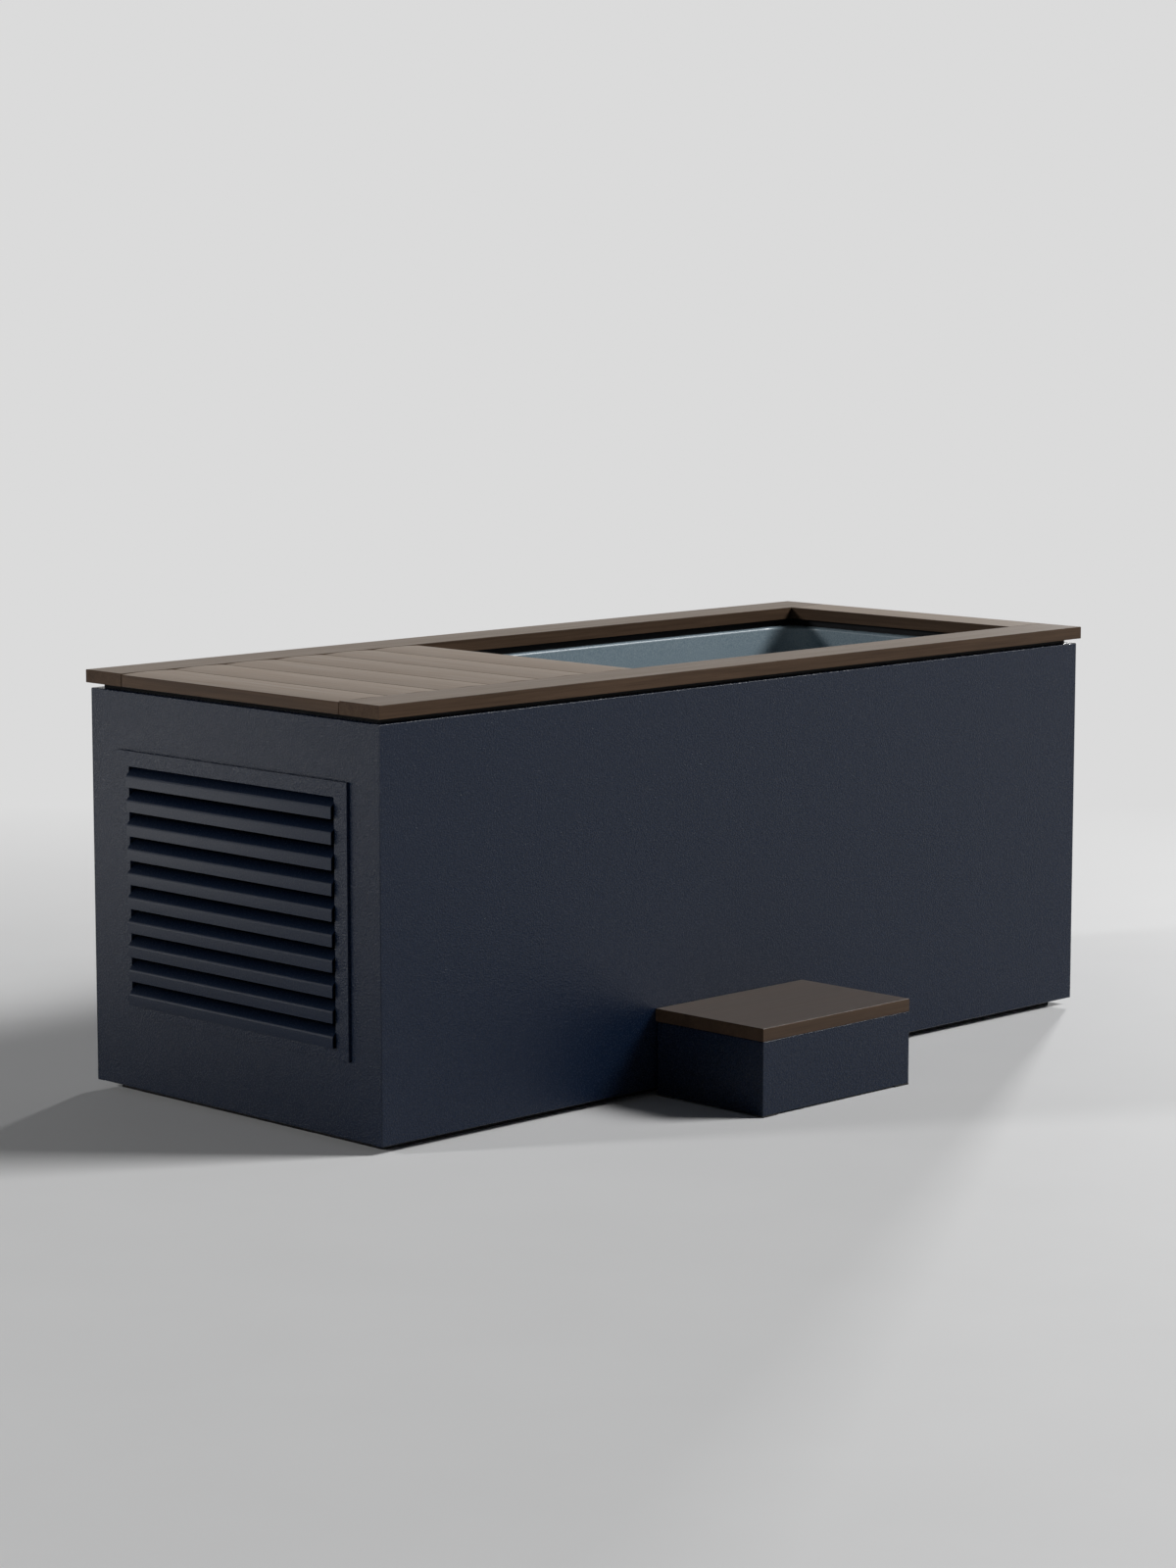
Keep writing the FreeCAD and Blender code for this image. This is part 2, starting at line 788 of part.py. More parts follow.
def tub():
    """The liner, its insulation, the bulkhead, and the fittings that pass through them."""
    shell = basin("liner_shell", dim.liner_wall)
    hollow = basin("liner_hollow", ZERO)
    flange = block((bay_wall + dim.flange_edge, fold_right - dim.flange_edge),
                   both_sides(fold_half - dim.flange_edge), (flange_under, flange_top))
    bore = dim.fitting_tube + dim.fitting_clearance
    passages = []
    for height in (dim.suction_height, dim.return_height):
        reach = (bulkhead_face, basin_left + dim.basin_draft + dim.liner_wall)
        passages.append(rod("X", (dim.fitting_offset, height), reach, bore))
    sump = rod("Z", (drain_x, ZERO), (base_rail_top, dim.basin_floor), bore)
    liner = keep("tub_liner", cut(fuse([shell, flange]), [hollow, *passages, sump]))

    channel = rod("X", (ZERO, drain_z), (bulkhead_face, drain_x),
                  dim.drain_stub_radius + dim.fitting_clearance)
    foam = block((foam_left, foam_right), both_sides(rail_in_half), (base_rail_top, flange_under))
    keep("insulation", cut(foam, [shell, *passages, sump, channel]))
    sheet_wall = block((bulkhead_face, bay_wall), both_sides(rail_in_half),
                       (dim.pan_thickness, flange_under))
    keep("bulkhead", cut(sheet_wall, [*passages, channel]))
    fitting("suction_fitting", dim.suction_height, liner)
    fitting("return_fitting", dim.return_height, liner)


def spacer():
    """The black ring between the case and the wood, with one window for the tub and one for the bay."""
    ring = block((fold_left, fold_right), both_sides(fold_half), (flange_under, rim_under))
    levels = (flange_under, rim_under)
    openings = [
        block((neck_face, well_right + dim.neck_setback), both_sides(well_half + dim.neck_setback), levels),
        block((fold_left + dim.neck_bar, bulkhead_face), both_sides(well_half - dim.hatch_ledge), levels),
        block((bay_wall + dim.flange_edge, fold_right - dim.flange_edge),
              both_sides(fold_half - dim.flange_edge), (flange_under, flange_top)),
        block((fold_left, deck_edge), both_sides(well_half), (rim_under - dim.seat_clearance, rim_under)),
    ]
    for middle in hinge_places():
        leaf_room = dim.leaf_thickness + dim.seat_clearance
        openings.append(block(
            (hinge_x - dim.leaf_length - dim.seat_clearance, deck_edge),
            around(middle, hinge_length() + 2 * dim.knuckle_gap),
            (rim_under - leaf_room, rim_under)))
    keep("rim_spacer", cut(ring, openings))


def rim():
    """The two long rails and the end rail of the wood rim."""
    level = (rim_under, rim_top)
    keep("rim_front_rail", board("front_rail", (rim_left, rim_right), (-rim_half, -well_half), level))
    keep("rim_rear_rail", board("rear_rail", (rim_left, rim_right), (well_half, rim_half), level))
    keep("rim_end_rail", board("end_rail", (well_right, rim_right), both_sides(well_half), level))


def hinge_length():
    """The length of one hinge along its pin."""
    return dim.knuckle_length * dim.knuckle_count


def hinge_places():
    """The middle of each hinge across the tub."""
    count = int(dim.hinge_count.value)
    return [dim.hinge_spacing * (index - (count - 1) / 2) for index in range(count)]


def hinges():
    """Butt hinges: one leaf on the spacer, one under the deck, knuckles interleaved on a pin."""
    base_leaves = []
    deck_leaves = []
    pins = []
    clear = dim.knuckle_radius + dim.knuckle_gap
    for middle in hinge_places():
        span = around(middle, hinge_length())
        upright = (neck_face, neck_face + dim.leaf_thickness)
        flat = (rim_under - dim.leaf_thickness, rim_under)
        base_pieces = [block(upright, span, (flange_top, hinge_z - clear))]
        deck_pieces = [block((hinge_x - dim.leaf_length, hinge_x - clear), span, flat)]
        for index in range(int(dim.knuckle_count.value)):
            start = span[0] + dim.knuckle_length * index
            part = (start + dim.knuckle_gap / 2, start + dim.knuckle_length - dim.knuckle_gap / 2)
            knuckle = rod("Y", (hinge_x, hinge_z), part, dim.knuckle_radius)
            if index % 2:
                deck_pieces += [knuckle, block((hinge_x - 2 * clear, hinge_x), part, flat)]
            else:
                base_pieces += [knuckle, block(upright, part, (hinge_z - 2 * clear, hinge_z))]
        eye = rod("Y", (hinge_x, hinge_z), span, dim.pin_radius + dim.pin_clearance)
        base_leaves.append(cut(fuse(base_pieces), [eye]))
        deck_leaves.append(cut(fuse(deck_pieces), [eye]))
        pins.append(rod("Y", (hinge_x, hinge_z), span, dim.pin_radius))
    keep("hinge_base_leaves", group(base_leaves))
    keep("hinge_deck_leaves", group(deck_leaves))
    keep("hinge_pins", group(pins))


def deck():
    """Six crowned boards screwed to two battens: the hatch over the equipment bay."""
    count = int(dim.board_count.value)
    width = (dim.deck_length - dim.board_gap * (count - 1)) / count
    crown = width * width / (8 * dim.board_crown) + dim.board_crown / 2
    across = both_sides(well_half - dim.hatch_side_gap)
    rows = both_sides(dim.batten_spacing / 2)
    batten_low = rim_under - dim.batten_thickness
    screws = []
    holes = []
    for index in range(count):
        start = rim_left + (width + dim.board_gap) * index
        middle = start + width / 2
        plank = block((start, start + width), across, (rim_under, rim_top))
        crest = rod("Y", (middle, rim_top - crown), across, crown)
        held = (
            batten_left if index == 0 else start,
            batten_right if index == count - 1 else start + width,
        )
        screw_x = (held[0] + held[1]) / 2
        bores = []
        for row in rows:
            shank = (batten_low, rim_under + dim.screw_bite)
            bores.append(rod("Z", (screw_x, row), shank, dim.screw_radius + dim.screw_clearance))
            head = rod("Z", (screw_x, row), (batten_low - dim.screw_head_height, batten_low),
                       dim.screw_head_radius)
            screws.append(fuse([rod("Z", (screw_x, row), shank, dim.screw_radius), head]))
        holes += bores
        keep(f"deck_board_{index + 1}", cut(common(plank, crest), bores))
    battens = []
    for row in rows:
        bar = block((batten_left, batten_right), around(row, dim.batten_width), (batten_low, rim_under))
        battens.append(cut(bar, [group(holes)]))
    keep("hatch_battens", group(battens))
    keep("hatch_screws", group(screws))


def chiller():
    """Behind the louvre: tray, condenser coil, fan, compressor and heat exchanger."""
    coil_half = dim.coil_width / 2
    tray_half = coil_half + dim.tray_margin
    tray_left = coil_front - dim.tray_margin
    wall = dim.tray_wall
    tray = block((tray_left, tray_right), both_sides(tray_half),
                 (dim.pan_thickness, dim.pan_thickness + dim.tray_upstand))
    well = block((tray_left + wall, tray_right - wall), both_sides(tray_half - wall),
                 (tray_top, dim.pan_thickness + dim.tray_upstand))
    keep("chiller_tray", cut(tray, [well]))

    fin_pack = block((coil_front + dim.coil_plate_step, coil_back - dim.coil_plate_step),
                     both_sides(coil_half), (tray_top, coil_top))
    plates = [
        block((coil_front, coil_back), (-coil_half, dim.coil_plate - coil_half), (tray_top, coil_top)),
        block((coil_front, coil_back), (coil_half - dim.coil_plate, coil_half), (tray_top, coil_top)),
    ]
    keep("condenser_coil", fuse([fin_pack] + plates))

    compressor_place = (compressor_x, -dim.compressor_offset)
    low = tray_top + dim.mount_height
    shell = dim.compressor_radius
    plate_top = low + dim.compressor_plate_thickness
    points = [
        (ZERO, low),
        (dim.compressor_plate, low),
        (dim.compressor_plate, plate_top),
        (shell, plate_top),
        (shell, compressor_top - dim.compressor_shoulder),
        (shell - dim.compressor_shoulder, compressor_top),
        (ZERO, compressor_top),
    ]
    keep("compressor", turned("compressor_form", "Z", compressor_place, points))
    feet = []
    reach = dim.compressor_plate - dim.mount_inset
    for index in range(MOUNT_COUNT):
        angle = 2 * math.pi * index / MOUNT_COUNT
        place = (compressor_place[0] + reach * math.cos(angle), compressor_place[1] + reach * math.sin(angle))
        feet.append(rod("Z", place, (tray_top, low), dim.mount_radius))
    keep("compressor_mounts", group(feet))

    case = block(around(compressor_x, dim.cooler_length), around(dim.water_offset, dim.cooler_width),
                 (tray_top, cooler_top))
    inlet = rod("X", (dim.water_offset, water_low), (cooler_right, cooler_right + dim.stub_length),
                dim.stub_radius)
    outlet = rod("Z", (cooler_port_x(), dim.water_offset), (cooler_top, cooler_top + dim.stub_length),
                 dim.stub_radius)
    keep("heat_exchanger", fuse([case, inlet, outlet]))


def cooler_port_x():
    """Where the heat exchanger's water outlet stands along the case."""
    return compressor_x + dim.cooler_length / 4


def fan():
    """The fan in its shroud behind the coil: shroud with motor spider, motor, and rotor on its shaft."""
    coil_half = dim.coil_width / 2
    wall = dim.shroud_wall
    reach = dim.fan_radius + dim.fan_tip_gap
    box = block((coil_back, shroud_back), both_sides(coil_half), (tray_top, coil_top))
    inside = block((coil_back, shroud_back - wall), both_sides(coil_half - wall),
                   (tray_top + wall, coil_top - wall))
    mouth = rod("X", (ZERO, fan_z), (coil_back, shroud_back), reach)
    spider = block((shroud_back, spider_back), both_sides(reach + dim.spider_lap),
                   around(fan_z, dim.spider_width))
    eye = rod("X", (ZERO, fan_z), (shroud_back, spider_back), dim.fan_shaft_radius + dim.spider_gap)
    keep("fan_shroud", fuse([cut(box, [inside, mouth]), cut(spider, [eye])]))

    bore = dim.fan_shaft_radius + dim.shaft_clearance
    motor = rod("X", (ZERO, fan_z), (spider_back, spider_back + dim.fan_motor_length), dim.fan_motor_radius)
    socket = rod("X", (ZERO, fan_z), (spider_back, spider_back + dim.fan_bore_depth), bore)
    keep("fan_motor", cut(motor, [socket]))

    hub = rod("X", (ZERO, fan_z), around(fan_x, dim.fan_hub_depth), dim.fan_hub_radius)
    shaft = rod("X", (ZERO, fan_z), (fan_x, spider_back + dim.fan_shaft_bite), dim.fan_shaft_radius)
    pieces = [hub, shaft]
    count = int(dim.fan_blade_count.value)
    for index in range(count):
        turn = Rotation(Vector(1, 0, 0), 360 * index / count).multiply(Rotation(Vector(0, 0, 1), FAN_PITCH))
        pieces.append(turned_block(
            (fan_x, ZERO, fan_z), turn,
            both_sides(dim.fan_blade_thickness / 2),
            both_sides(dim.fan_blade_chord / 2),
            (dim.fan_hub_radius / 2, dim.fan_radius)))
    keep("fan_rotor", fuse(pieces))


def copper_lines():
    """The refrigerant's three runs: hot gas to the coil, liquid to the exchanger, vapour back."""
    coil_mid = coil_front + dim.coil_depth / 2
    over_coil = coil_top + dim.copper_rise
    over_cooler = cooler_top + dim.copper_rise
    gas_y = -dim.compressor_offset - dim.copper_spread
    vapour_y = dim.copper_spread - dim.compressor_offset
    liquid_x = compressor_x - dim.cooler_length / 4
    cooler_y = dim.water_offset - dim.copper_spread
    routes = {
        "hot_gas_line": [
            (compressor_x, gas_y, compressor_top),
            (compressor_x, gas_y, over_coil),
            (coil_mid, gas_y, over_coil),
            (coil_mid, gas_y, coil_top),
        ],
        "liquid_line": [
            (coil_mid, dim.water_offset, coil_top),
            (coil_mid, dim.water_offset, over_coil),
            (liquid_x, dim.water_offset, over_coil),
            (liquid_x, dim.water_offset, cooler_top),
        ],
        "vapour_line": [
            (compressor_x, cooler_y, cooler_top),
            (compressor_x, cooler_y, over_cooler),
            (compressor_x, vapour_y, over_cooler),
            (compressor_x, vapour_y, compressor_top),
        ],
    }
    bore = dim.copper_radius - dim.copper_wall
    runs = [pipe(route, dim.copper_radius, bore, dim.copper_bend, name) for name, route in routes.items()]
    keep("refrigerant_lines", group(runs))


def pump():
    """The water pump: motor on its foot, volute with two stubs, and an impeller on its shaft."""
    motor_start = volute_front - dim.pump_motor_length
    bore = dim.pump_shaft_radius + dim.shaft_clearance
    bore_end = volute_front - dim.pump_bore_depth
    points = [
        (ZERO, motor_start),
        (dim.pump_motor_radius, motor_start),
        (dim.pump_motor_radius, volute_front - dim.pump_flange),
        (dim.volute_radius, volute_front - dim.pump_flange),
        (dim.volute_radius, volute_front),
        (bore, volute_front),
        (bore, bore_end),
        (ZERO, bore_end),
    ]
    frame = turned("pump_motor_form", "Y", (pump_x, pump_z), points)
    foot = block(around(pump_x, dim.pump_foot_width),
                 (motor_start + dim.pump_foot_margin, bore_end - dim.pump_foot_margin),
                 (dim.pan_thickness, pump_z - dim.pump_motor_radius / 2))
    keep("pump_motor", fuse([frame, foot]))

    middle = -dim.pump_offset
    inlet = (volute_back, volute_back + dim.stub_length)
    outlet = (pump_z, pump_z + dim.volute_radius + dim.stub_length)
    casing = fuse([
        rod("Y", (pump_x, pump_z), (volute_front, volute_back), dim.volute_radius),
        rod("Y", (pump_x, pump_z), inlet, dim.stub_radius),
        rod("Z", (filter_x, middle), outlet, dim.stub_radius),
    ])
    chamber = dim.volute_radius - dim.volute_wall
    waterways = [
        rod("Y", (pump_x, pump_z), (volute_front, volute_back - dim.volute_wall), chamber),
        rod("Y", (pump_x, pump_z), (volute_front, inlet[1]), dim.stub_bore),
        rod("Z", (filter_x, middle), outlet, dim.stub_bore),
    ]
    keep("pump_volute", cut(casing, waterways))

    disc_front = volute_front + dim.impeller_gap
    disc_back = disc_front + dim.impeller_disc
    vane_back = disc_back + dim.vane_height
    reach = chamber - dim.impeller_gap
    pieces = [
        rod("Y", (pump_x, pump_z), (volute_front - dim.pump_shaft_bite, disc_back), dim.pump_shaft_radius),
        rod("Y", (pump_x, pump_z), (disc_front, disc_back), reach),
        rod("Y", (pump_x, pump_z), (disc_front, vane_back), dim.impeller_hub),
    ]
    count = int(dim.vane_count.value)
    for index in range(count):
        pieces.append(turned_block(
            (pump_x, ZERO, pump_z), Rotation(Vector(0, 1, 0), 360 * index / count),
            (dim.impeller_hub / 2, reach - dim.impeller_gap),
            (disc_front, vane_back),
            both_sides(dim.vane_thickness / 2)))
    keep("pump_impeller", fuse(pieces))


def water_filter():
    """The filter: housing with two stubs, cartridge, and a lid that twists off."""
    place = (filter_x, dim.water_offset)
    floor = dim.pan_thickness + dim.filter_wall
    inside = dim.filter_radius - dim.filter_wall
    collar = dim.filter_radius + dim.filter_collar
    collar_low = filter_top - dim.filter_collar_height
    points = [
        (ZERO, dim.pan_thickness),
        (dim.filter_radius, dim.pan_thickness),
        (dim.filter_radius, collar_low),
        (collar, collar_low),
        (collar, filter_top),
        (inside, filter_top),
        (inside, floor),
        (ZERO, floor),
    ]
    can = turned("filter_can", "Z", place, points)
    reach = dim.filter_radius + dim.stub_length
    root = dim.filter_radius - dim.filter_wall / 2
    inlet = (dim.water_offset - reach, dim.water_offset - root)
    outlet = (filter_x - reach, filter_x - root)
    stubs = [
        rod("Y", (filter_x, filter_inlet_z), inlet, dim.stub_radius),
        rod("X", (dim.water_offset, water_low), outlet, dim.stub_radius),
    ]
    bores = [
        rod("Y", (filter_x, filter_inlet_z), (inlet[0], dim.water_offset), dim.stub_bore),
        rod("X", (dim.water_offset, water_low), (outlet[0], filter_x), dim.stub_bore),
    ]
    keep("filter_housing", cut(fuse([can] + stubs), bores))

    cartridge = rod("Z", place, (floor, filter_top - dim.cartridge_head_gap), dim.cartridge_radius)
    core = rod("Z", place, (floor, filter_top - dim.cartridge_head_gap), dim.cartridge_core)
    keep("filter_cartridge", cut(cartridge, [core]))

    seat = filter_top + dim.seat_clearance
    lid_top = seat + dim.lid_thickness
    spigot = inside - dim.lid_spigot_gap
    brim = collar + dim.lid_overlap
    points = [
        (ZERO, filter_top - dim.lid_spigot),
        (spigot, filter_top - dim.lid_spigot),
        (spigot, seat),
        (brim, seat),
        (brim, lid_top - dim.lid_slope),
        (dim.cartridge_radius, lid_top),
        (ZERO, lid_top),
    ]
    cap = turned("filter_cap", "Z", place, points)
    bar = block(around(filter_x, dim.lid_bar_length), around(dim.water_offset, dim.lid_bar_width),
                (lid_top - dim.lid_slope, lid_top + dim.lid_bar_height))
    keep("filter_lid", fuse([cap, bar]))


def water_pipes():
    """Rigid pipes for the water, from tub to pump, filter, heat exchanger and back to the tub."""
    slack = dim.stub_length - dim.pipe_grip
    wall_stub = bulkhead_face - dim.fitting_nut_thickness - slack
    pump_inlet = volute_back + slack
    pump_outlet = pump_z + dim.volute_radius + slack
    filter_reach = dim.filter_radius + slack
    pump_y = -dim.pump_offset
    routes = {
        "suction_run": [
            (wall_stub, dim.fitting_offset, dim.suction_height),
            (pump_x, dim.fitting_offset, dim.suction_height),
            (pump_x, dim.fitting_offset, pump_z),
            (pump_x, pump_inlet, pump_z),
        ],
        "pump_run": [
            (filter_x, pump_y, pump_outlet),
            (filter_x, pump_y, filter_inlet_z),
            (filter_x, dim.water_offset - filter_reach, filter_inlet_z),
        ],
        "filter_run": [
            (filter_x - filter_reach, dim.water_offset, water_low),
            (cooler_right + slack, dim.water_offset, water_low),
        ],
        "return_run": [
            (cooler_port_x(), dim.water_offset, cooler_top + slack),
            (cooler_port_x(), dim.water_offset, dim.return_height),
            (cooler_port_x(), dim.fitting_offset, dim.return_height),
            (wall_stub, dim.fitting_offset, dim.return_height),
        ],
    }
    bore = dim.stub_radius + dim.pipe_fit
    keep("water_pipes", group([
        pipe(route, dim.pipe_radius, bore, dim.pipe_bend, name) for name, route in routes.items()]))


def drain():
    """The drain: fitting in the tub's floor, pipe, ball valve with its lever, and the outlet port."""
    stub_end = drain_x - dim.drain_stub
    low = drain_z - dim.drain_stub_radius
    cover = dim.basin_floor + dim.drain_cover
    body = fuse([
        rod("Z", (drain_x, ZERO), (dim.basin_floor, cover), dim.fitting_flange),
        rod("Z", (drain_x, ZERO), (low, cover), dim.fitting_tube),
        rod("X", (ZERO, drain_z), (stub_end, drain_x), dim.drain_stub_radius),
    ])
    bores = [
        rod("Z", (drain_x, ZERO), (drain_z, cover), dim.drain_bore),
        rod("X", (ZERO, drain_z), (stub_end, drain_x), dim.drain_bore),
    ]
    keep("drain_fitting", cut(body, bores))
    route = [
        (stub_end, ZERO, drain_z),
        (drain_line_x, ZERO, drain_z),
        (drain_line_x, valve_front, drain_z),
    ]
    bore = dim.drain_radius - dim.drain_wall
    keep("drain_pipe", pipe(route, dim.drain_radius, bore, dim.drain_bend, "drain_run"))

    stem_top = drain_z + dim.stem_height
    lever_low = stem_top + dim.seat_clearance
    pin_top = lever_low + dim.lever_hub_height
    place = (drain_line_x, valve_mid)
    ball_housing = fuse([
        rod("Y", (drain_line_x, drain_z), (valve_front, valve_back), dim.drain_radius),
        rod("Y", (drain_line_x, drain_z), (valve_front + dim.valve_collar, valve_back - dim.valve_collar),
            dim.valve_radius),
        rod("Z", place, (drain_z, stem_top), dim.stem_radius),
        rod("Z", place, (drain_z, pin_top), dim.lever_pin),
    ])
    waterway = rod("Y", (drain_line_x, drain_z), (valve_front, valve_back), bore)
    keep("drain_valve_body", cut(ball_housing, [waterway]))
    lever = fuse([
        rod("Z", place, (lever_low, pin_top), dim.lever_hub),
        block((drain_line_x - dim.lever_length, drain_line_x), around(valve_mid, dim.lever_width),
              (lever_low, lever_low + dim.lever_thickness)),
    ])
    eye = rod("Z", place, (lever_low, pin_top), dim.lever_pin + dim.shaft_clearance)
    keep("drain_valve_lever", cut(lever, [eye]))

    mouth = half_width + dim.port_flange_thickness
    shoulder = mouth - dim.port_bore_depth
    nut = inner_half - dim.port_nut_thickness
    points = [
        (bore, valve_back),
        (dim.port_radius, valve_back),
        (dim.port_radius, nut),
        (dim.port_nut, nut),
        (dim.port_nut, inner_half),
        (dim.port_radius, inner_half),
        (dim.port_radius, half_width),
        (dim.port_flange, half_width),
        (dim.port_flange, mouth),
        (dim.port_bore, mouth),
        (dim.port_bore, shoulder),
        (bore - dim.drain_wall, shoulder),
        (bore - dim.drain_wall, shoulder - dim.drain_wall),
        (bore, shoulder - dim.drain_wall),
    ]
    keep("drain_port", turned("port_form", "Y", (drain_line_x, drain_z), points))


def electrics():
    """The control box and lid on the bulkhead, the cable gland, and the rocker switch in its bezel."""
    face = bulkhead_face - dim.box_depth
    wall = dim.box_wall
    y = (-dim.box_side - dim.box_width, -dim.box_side)
    z = (dim.box_base, dim.box_base + dim.box_height)
    case = block((face, bulkhead_face), y, z)
    inside = block((face, bulkhead_face - wall), (y[0] + wall, y[1] - wall), (z[0] + wall, z[1] - wall))
    keep("control_box", cut(case, [inside]))
    lip = dim.box_lid_step
    keep("control_box_lid", block((face - wall, face), (y[0] - lip, y[1] + lip), (z[0] - lip, z[1] + lip)))

    collar = half_width + dim.gland_collar_length
    dome = collar + dim.gland_dome_length
    tail = inner_half - dim.gland_nut_length
    points = [
        (dim.gland_bore, tail),
        (dim.gland_nut, tail),
        (dim.gland_nut, inner_half),
        (dim.gland_neck, inner_half),
        (dim.gland_neck, half_width),
        (dim.gland_nut, half_width),
        (dim.gland_nut, collar),
        (dim.gland_neck, dome),
        (dim.gland_bore, dome),
    ]
    keep("cable_gland", turned("gland_form", "Y", (inlet_x, dim.gland_height), points))

    front = half_width + dim.bezel_thickness
    back = half_width - dim.bezel_depth
    recess_width = bezel_in_width - 2 * dim.bezel_wall
    recess_height = bezel_in_height - 2 * dim.bezel_wall
    middle = dim.switch_height
    bezel = fuse([
        block(around(inlet_x, dim.bezel_width), (half_width, front), around(middle, dim.bezel_height)),
        block(around(inlet_x, bezel_in_width), (back, half_width), around(middle, bezel_in_height)),
    ])
    recess = block(around(inlet_x, recess_width), (back + dim.bezel_wall, front),
                   around(middle, recess_height))
    pivot = (front - dim.rocker_pivot_depth, middle)
    pin_span = around(inlet_x, recess_width + 2 * dim.rocker_pin_bite)
    eyes = rod("X", pivot, pin_span, dim.rocker_pin + dim.pin_clearance)
    keep("switch_bezel", cut(bezel, [recess, eyes]))

    half = recess_height / 2 - dim.rocker_swing_gap
    width = recess_width - 2 * dim.rocker_gap
    key = extruded("rocker_form", "YZ_Plane",
                   rectangle((-dim.rocker_back, dim.rocker_front), both_sides(half)), -width / 2, width)
    key.Placement = Placement(Vector(), Rotation(Vector(1, 0, 0), -dim.rocker_tilt.value))
    put(key, inlet_x, *pivot)
    keep("power_switch", fuse([key, rod("X", pivot, pin_span, dim.rocker_pin)]))


def step():
    """The step in front: a folded steel box on rubber pads under a wood top that laps it at the back."""
    side = around(-dim.step_shift, dim.step_length)
    depth = (step_front, step_back - dim.step_overhang)
    wall = dim.step_wall
    low = dim.step_pad_thickness
    shell = block(side, depth, (low, step_top_low))
    hollow = block((side[0] + wall, side[1] - wall), (depth[0] + wall, depth[1] - wall),
                   (low + wall, step_top_low - wall))
    lip = dim.step_lip
    mouth = block((side[0] + lip, side[1] - lip), (depth[0] + lip, depth[1] - lip), (low, low + wall))
    keep("step_box", cut(shell, [hollow, mouth]))
    keep("step_top", board("step_board", side, (step_front, step_back), (step_top_low, dim.step_height)))
    pad = dim.step_pad_size
    pads = []
    for across in ((side[0], side[0] + pad), (side[1] - pad, side[1])):
        for along in ((depth[0], depth[0] + pad), (depth[1] - pad, depth[1])):
            pads.append(block(across, along, (ZERO, low)))
    keep("step_pads", group(pads))


base_and_frame()
panels()
louvre()
tub()
spacer()
rim()
hinges()
deck()
chiller()
fan()
copper_lines()
pump()
water_filter()
water_pipes()
drain()
electrics()
step()

doc.recompute()
failed = [item.Label for item in doc.Objects if "Invalid" in item.State or "Error" in item.State]
if failed:
    raise RuntimeError(f"these did not build: {failed}")
for node in nodes:
    if node.Shape.isNull() or not node.Shape.isValid():
        raise RuntimeError(f"{node.Label} has no valid shape")
os.makedirs("parts", exist_ok=True)
for node in nodes:
    node.Shape.exportStep(f"parts/{node.Label}.step")
print(f"{len(nodes)} pieces written")
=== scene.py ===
import math

import bmesh
import bpy
from mathutils import Matrix, Vector


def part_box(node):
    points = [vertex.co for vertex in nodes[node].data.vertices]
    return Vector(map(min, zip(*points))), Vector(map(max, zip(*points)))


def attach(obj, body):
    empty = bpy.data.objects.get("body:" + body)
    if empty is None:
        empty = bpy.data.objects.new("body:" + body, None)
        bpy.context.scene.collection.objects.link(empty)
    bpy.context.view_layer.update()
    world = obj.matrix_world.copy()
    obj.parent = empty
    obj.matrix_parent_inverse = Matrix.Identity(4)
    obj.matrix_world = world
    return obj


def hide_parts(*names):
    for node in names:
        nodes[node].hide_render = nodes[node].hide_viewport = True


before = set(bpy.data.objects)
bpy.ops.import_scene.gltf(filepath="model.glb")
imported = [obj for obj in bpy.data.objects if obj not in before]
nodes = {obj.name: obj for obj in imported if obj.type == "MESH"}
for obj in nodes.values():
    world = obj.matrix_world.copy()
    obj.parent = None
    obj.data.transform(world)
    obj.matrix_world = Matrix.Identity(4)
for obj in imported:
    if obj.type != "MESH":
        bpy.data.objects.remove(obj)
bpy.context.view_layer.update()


# BASE
# A shallow tray of black moulded plastic that the whole case stands on, set back from the panels
# so that only a thin dark line shows under them. The steel frame is bolted down through it.

def make(tree, kind, sockets=None, **settings):
    """Adds a shader node; an input that is given a socket is linked, any other is written in."""
    node = tree.nodes.new("ShaderNode" + kind)
    for label, value in settings.items():
        setattr(node, label, value)
    for label, value in (sockets or {}).items():
        if isinstance(value, bpy.types.NodeSocket):
            tree.links.new(value, node.inputs[label])
        else:
            node.inputs[label].default_value = value
    return node


def shader_group(name, inputs, outputs):
    """An empty shader group with named sockets: its tree, what it is given and its results."""
    tree = bpy.data.node_groups.new(name, "ShaderNodeTree")
    for label, kind in inputs.items():
        tree.interface.new_socket(label, in_out="INPUT", socket_type="NodeSocket" + kind)
    for label, kind in outputs.items():
        tree.interface.new_socket(label, in_out="OUTPUT", socket_type="NodeSocket" + kind)
    return tree, tree.nodes.new("NodeGroupInput").outputs, tree.nodes.new("NodeGroupOutput").inputs


def put_out(tree, result, **layers):
    """Joins a group's layers to its named results."""
    for label, socket in layers.items():
        tree.links.new(socket, result[label])


def spread(tree, value, low, high, start, end):
    """Maps a value from one span to another."""
    sockets = {"Value": value, "From Min": low, "From Max": high, "To Min": start, "To Max": end}
    return make(tree, "MapRange", sockets).outputs["Result"]


def blended(tree, share, first, second):
    """One colour mixed into another by a share that changes over the surface."""
    return make(tree, "Mix", {0: share, 6: first, 7: second}, data_type="RGBA").outputs[2]


def noise(tree, place, scale, detail, roughness=0.5, distortion=0.0):
    """A cloudy value over the surface; the scale is about how many clouds there are to the metre."""
    return make(tree, "TexNoise", {
        "Vector": place, "Scale": scale, "Detail": detail, "Roughness": roughness,
        "Distortion": distortion}).outputs[0]


def sums(tree, operation, *values):
    """One step of arithmetic with values that change over the surface."""
    return make(tree, "Math", dict(enumerate(values)), operation=operation).outputs[0]


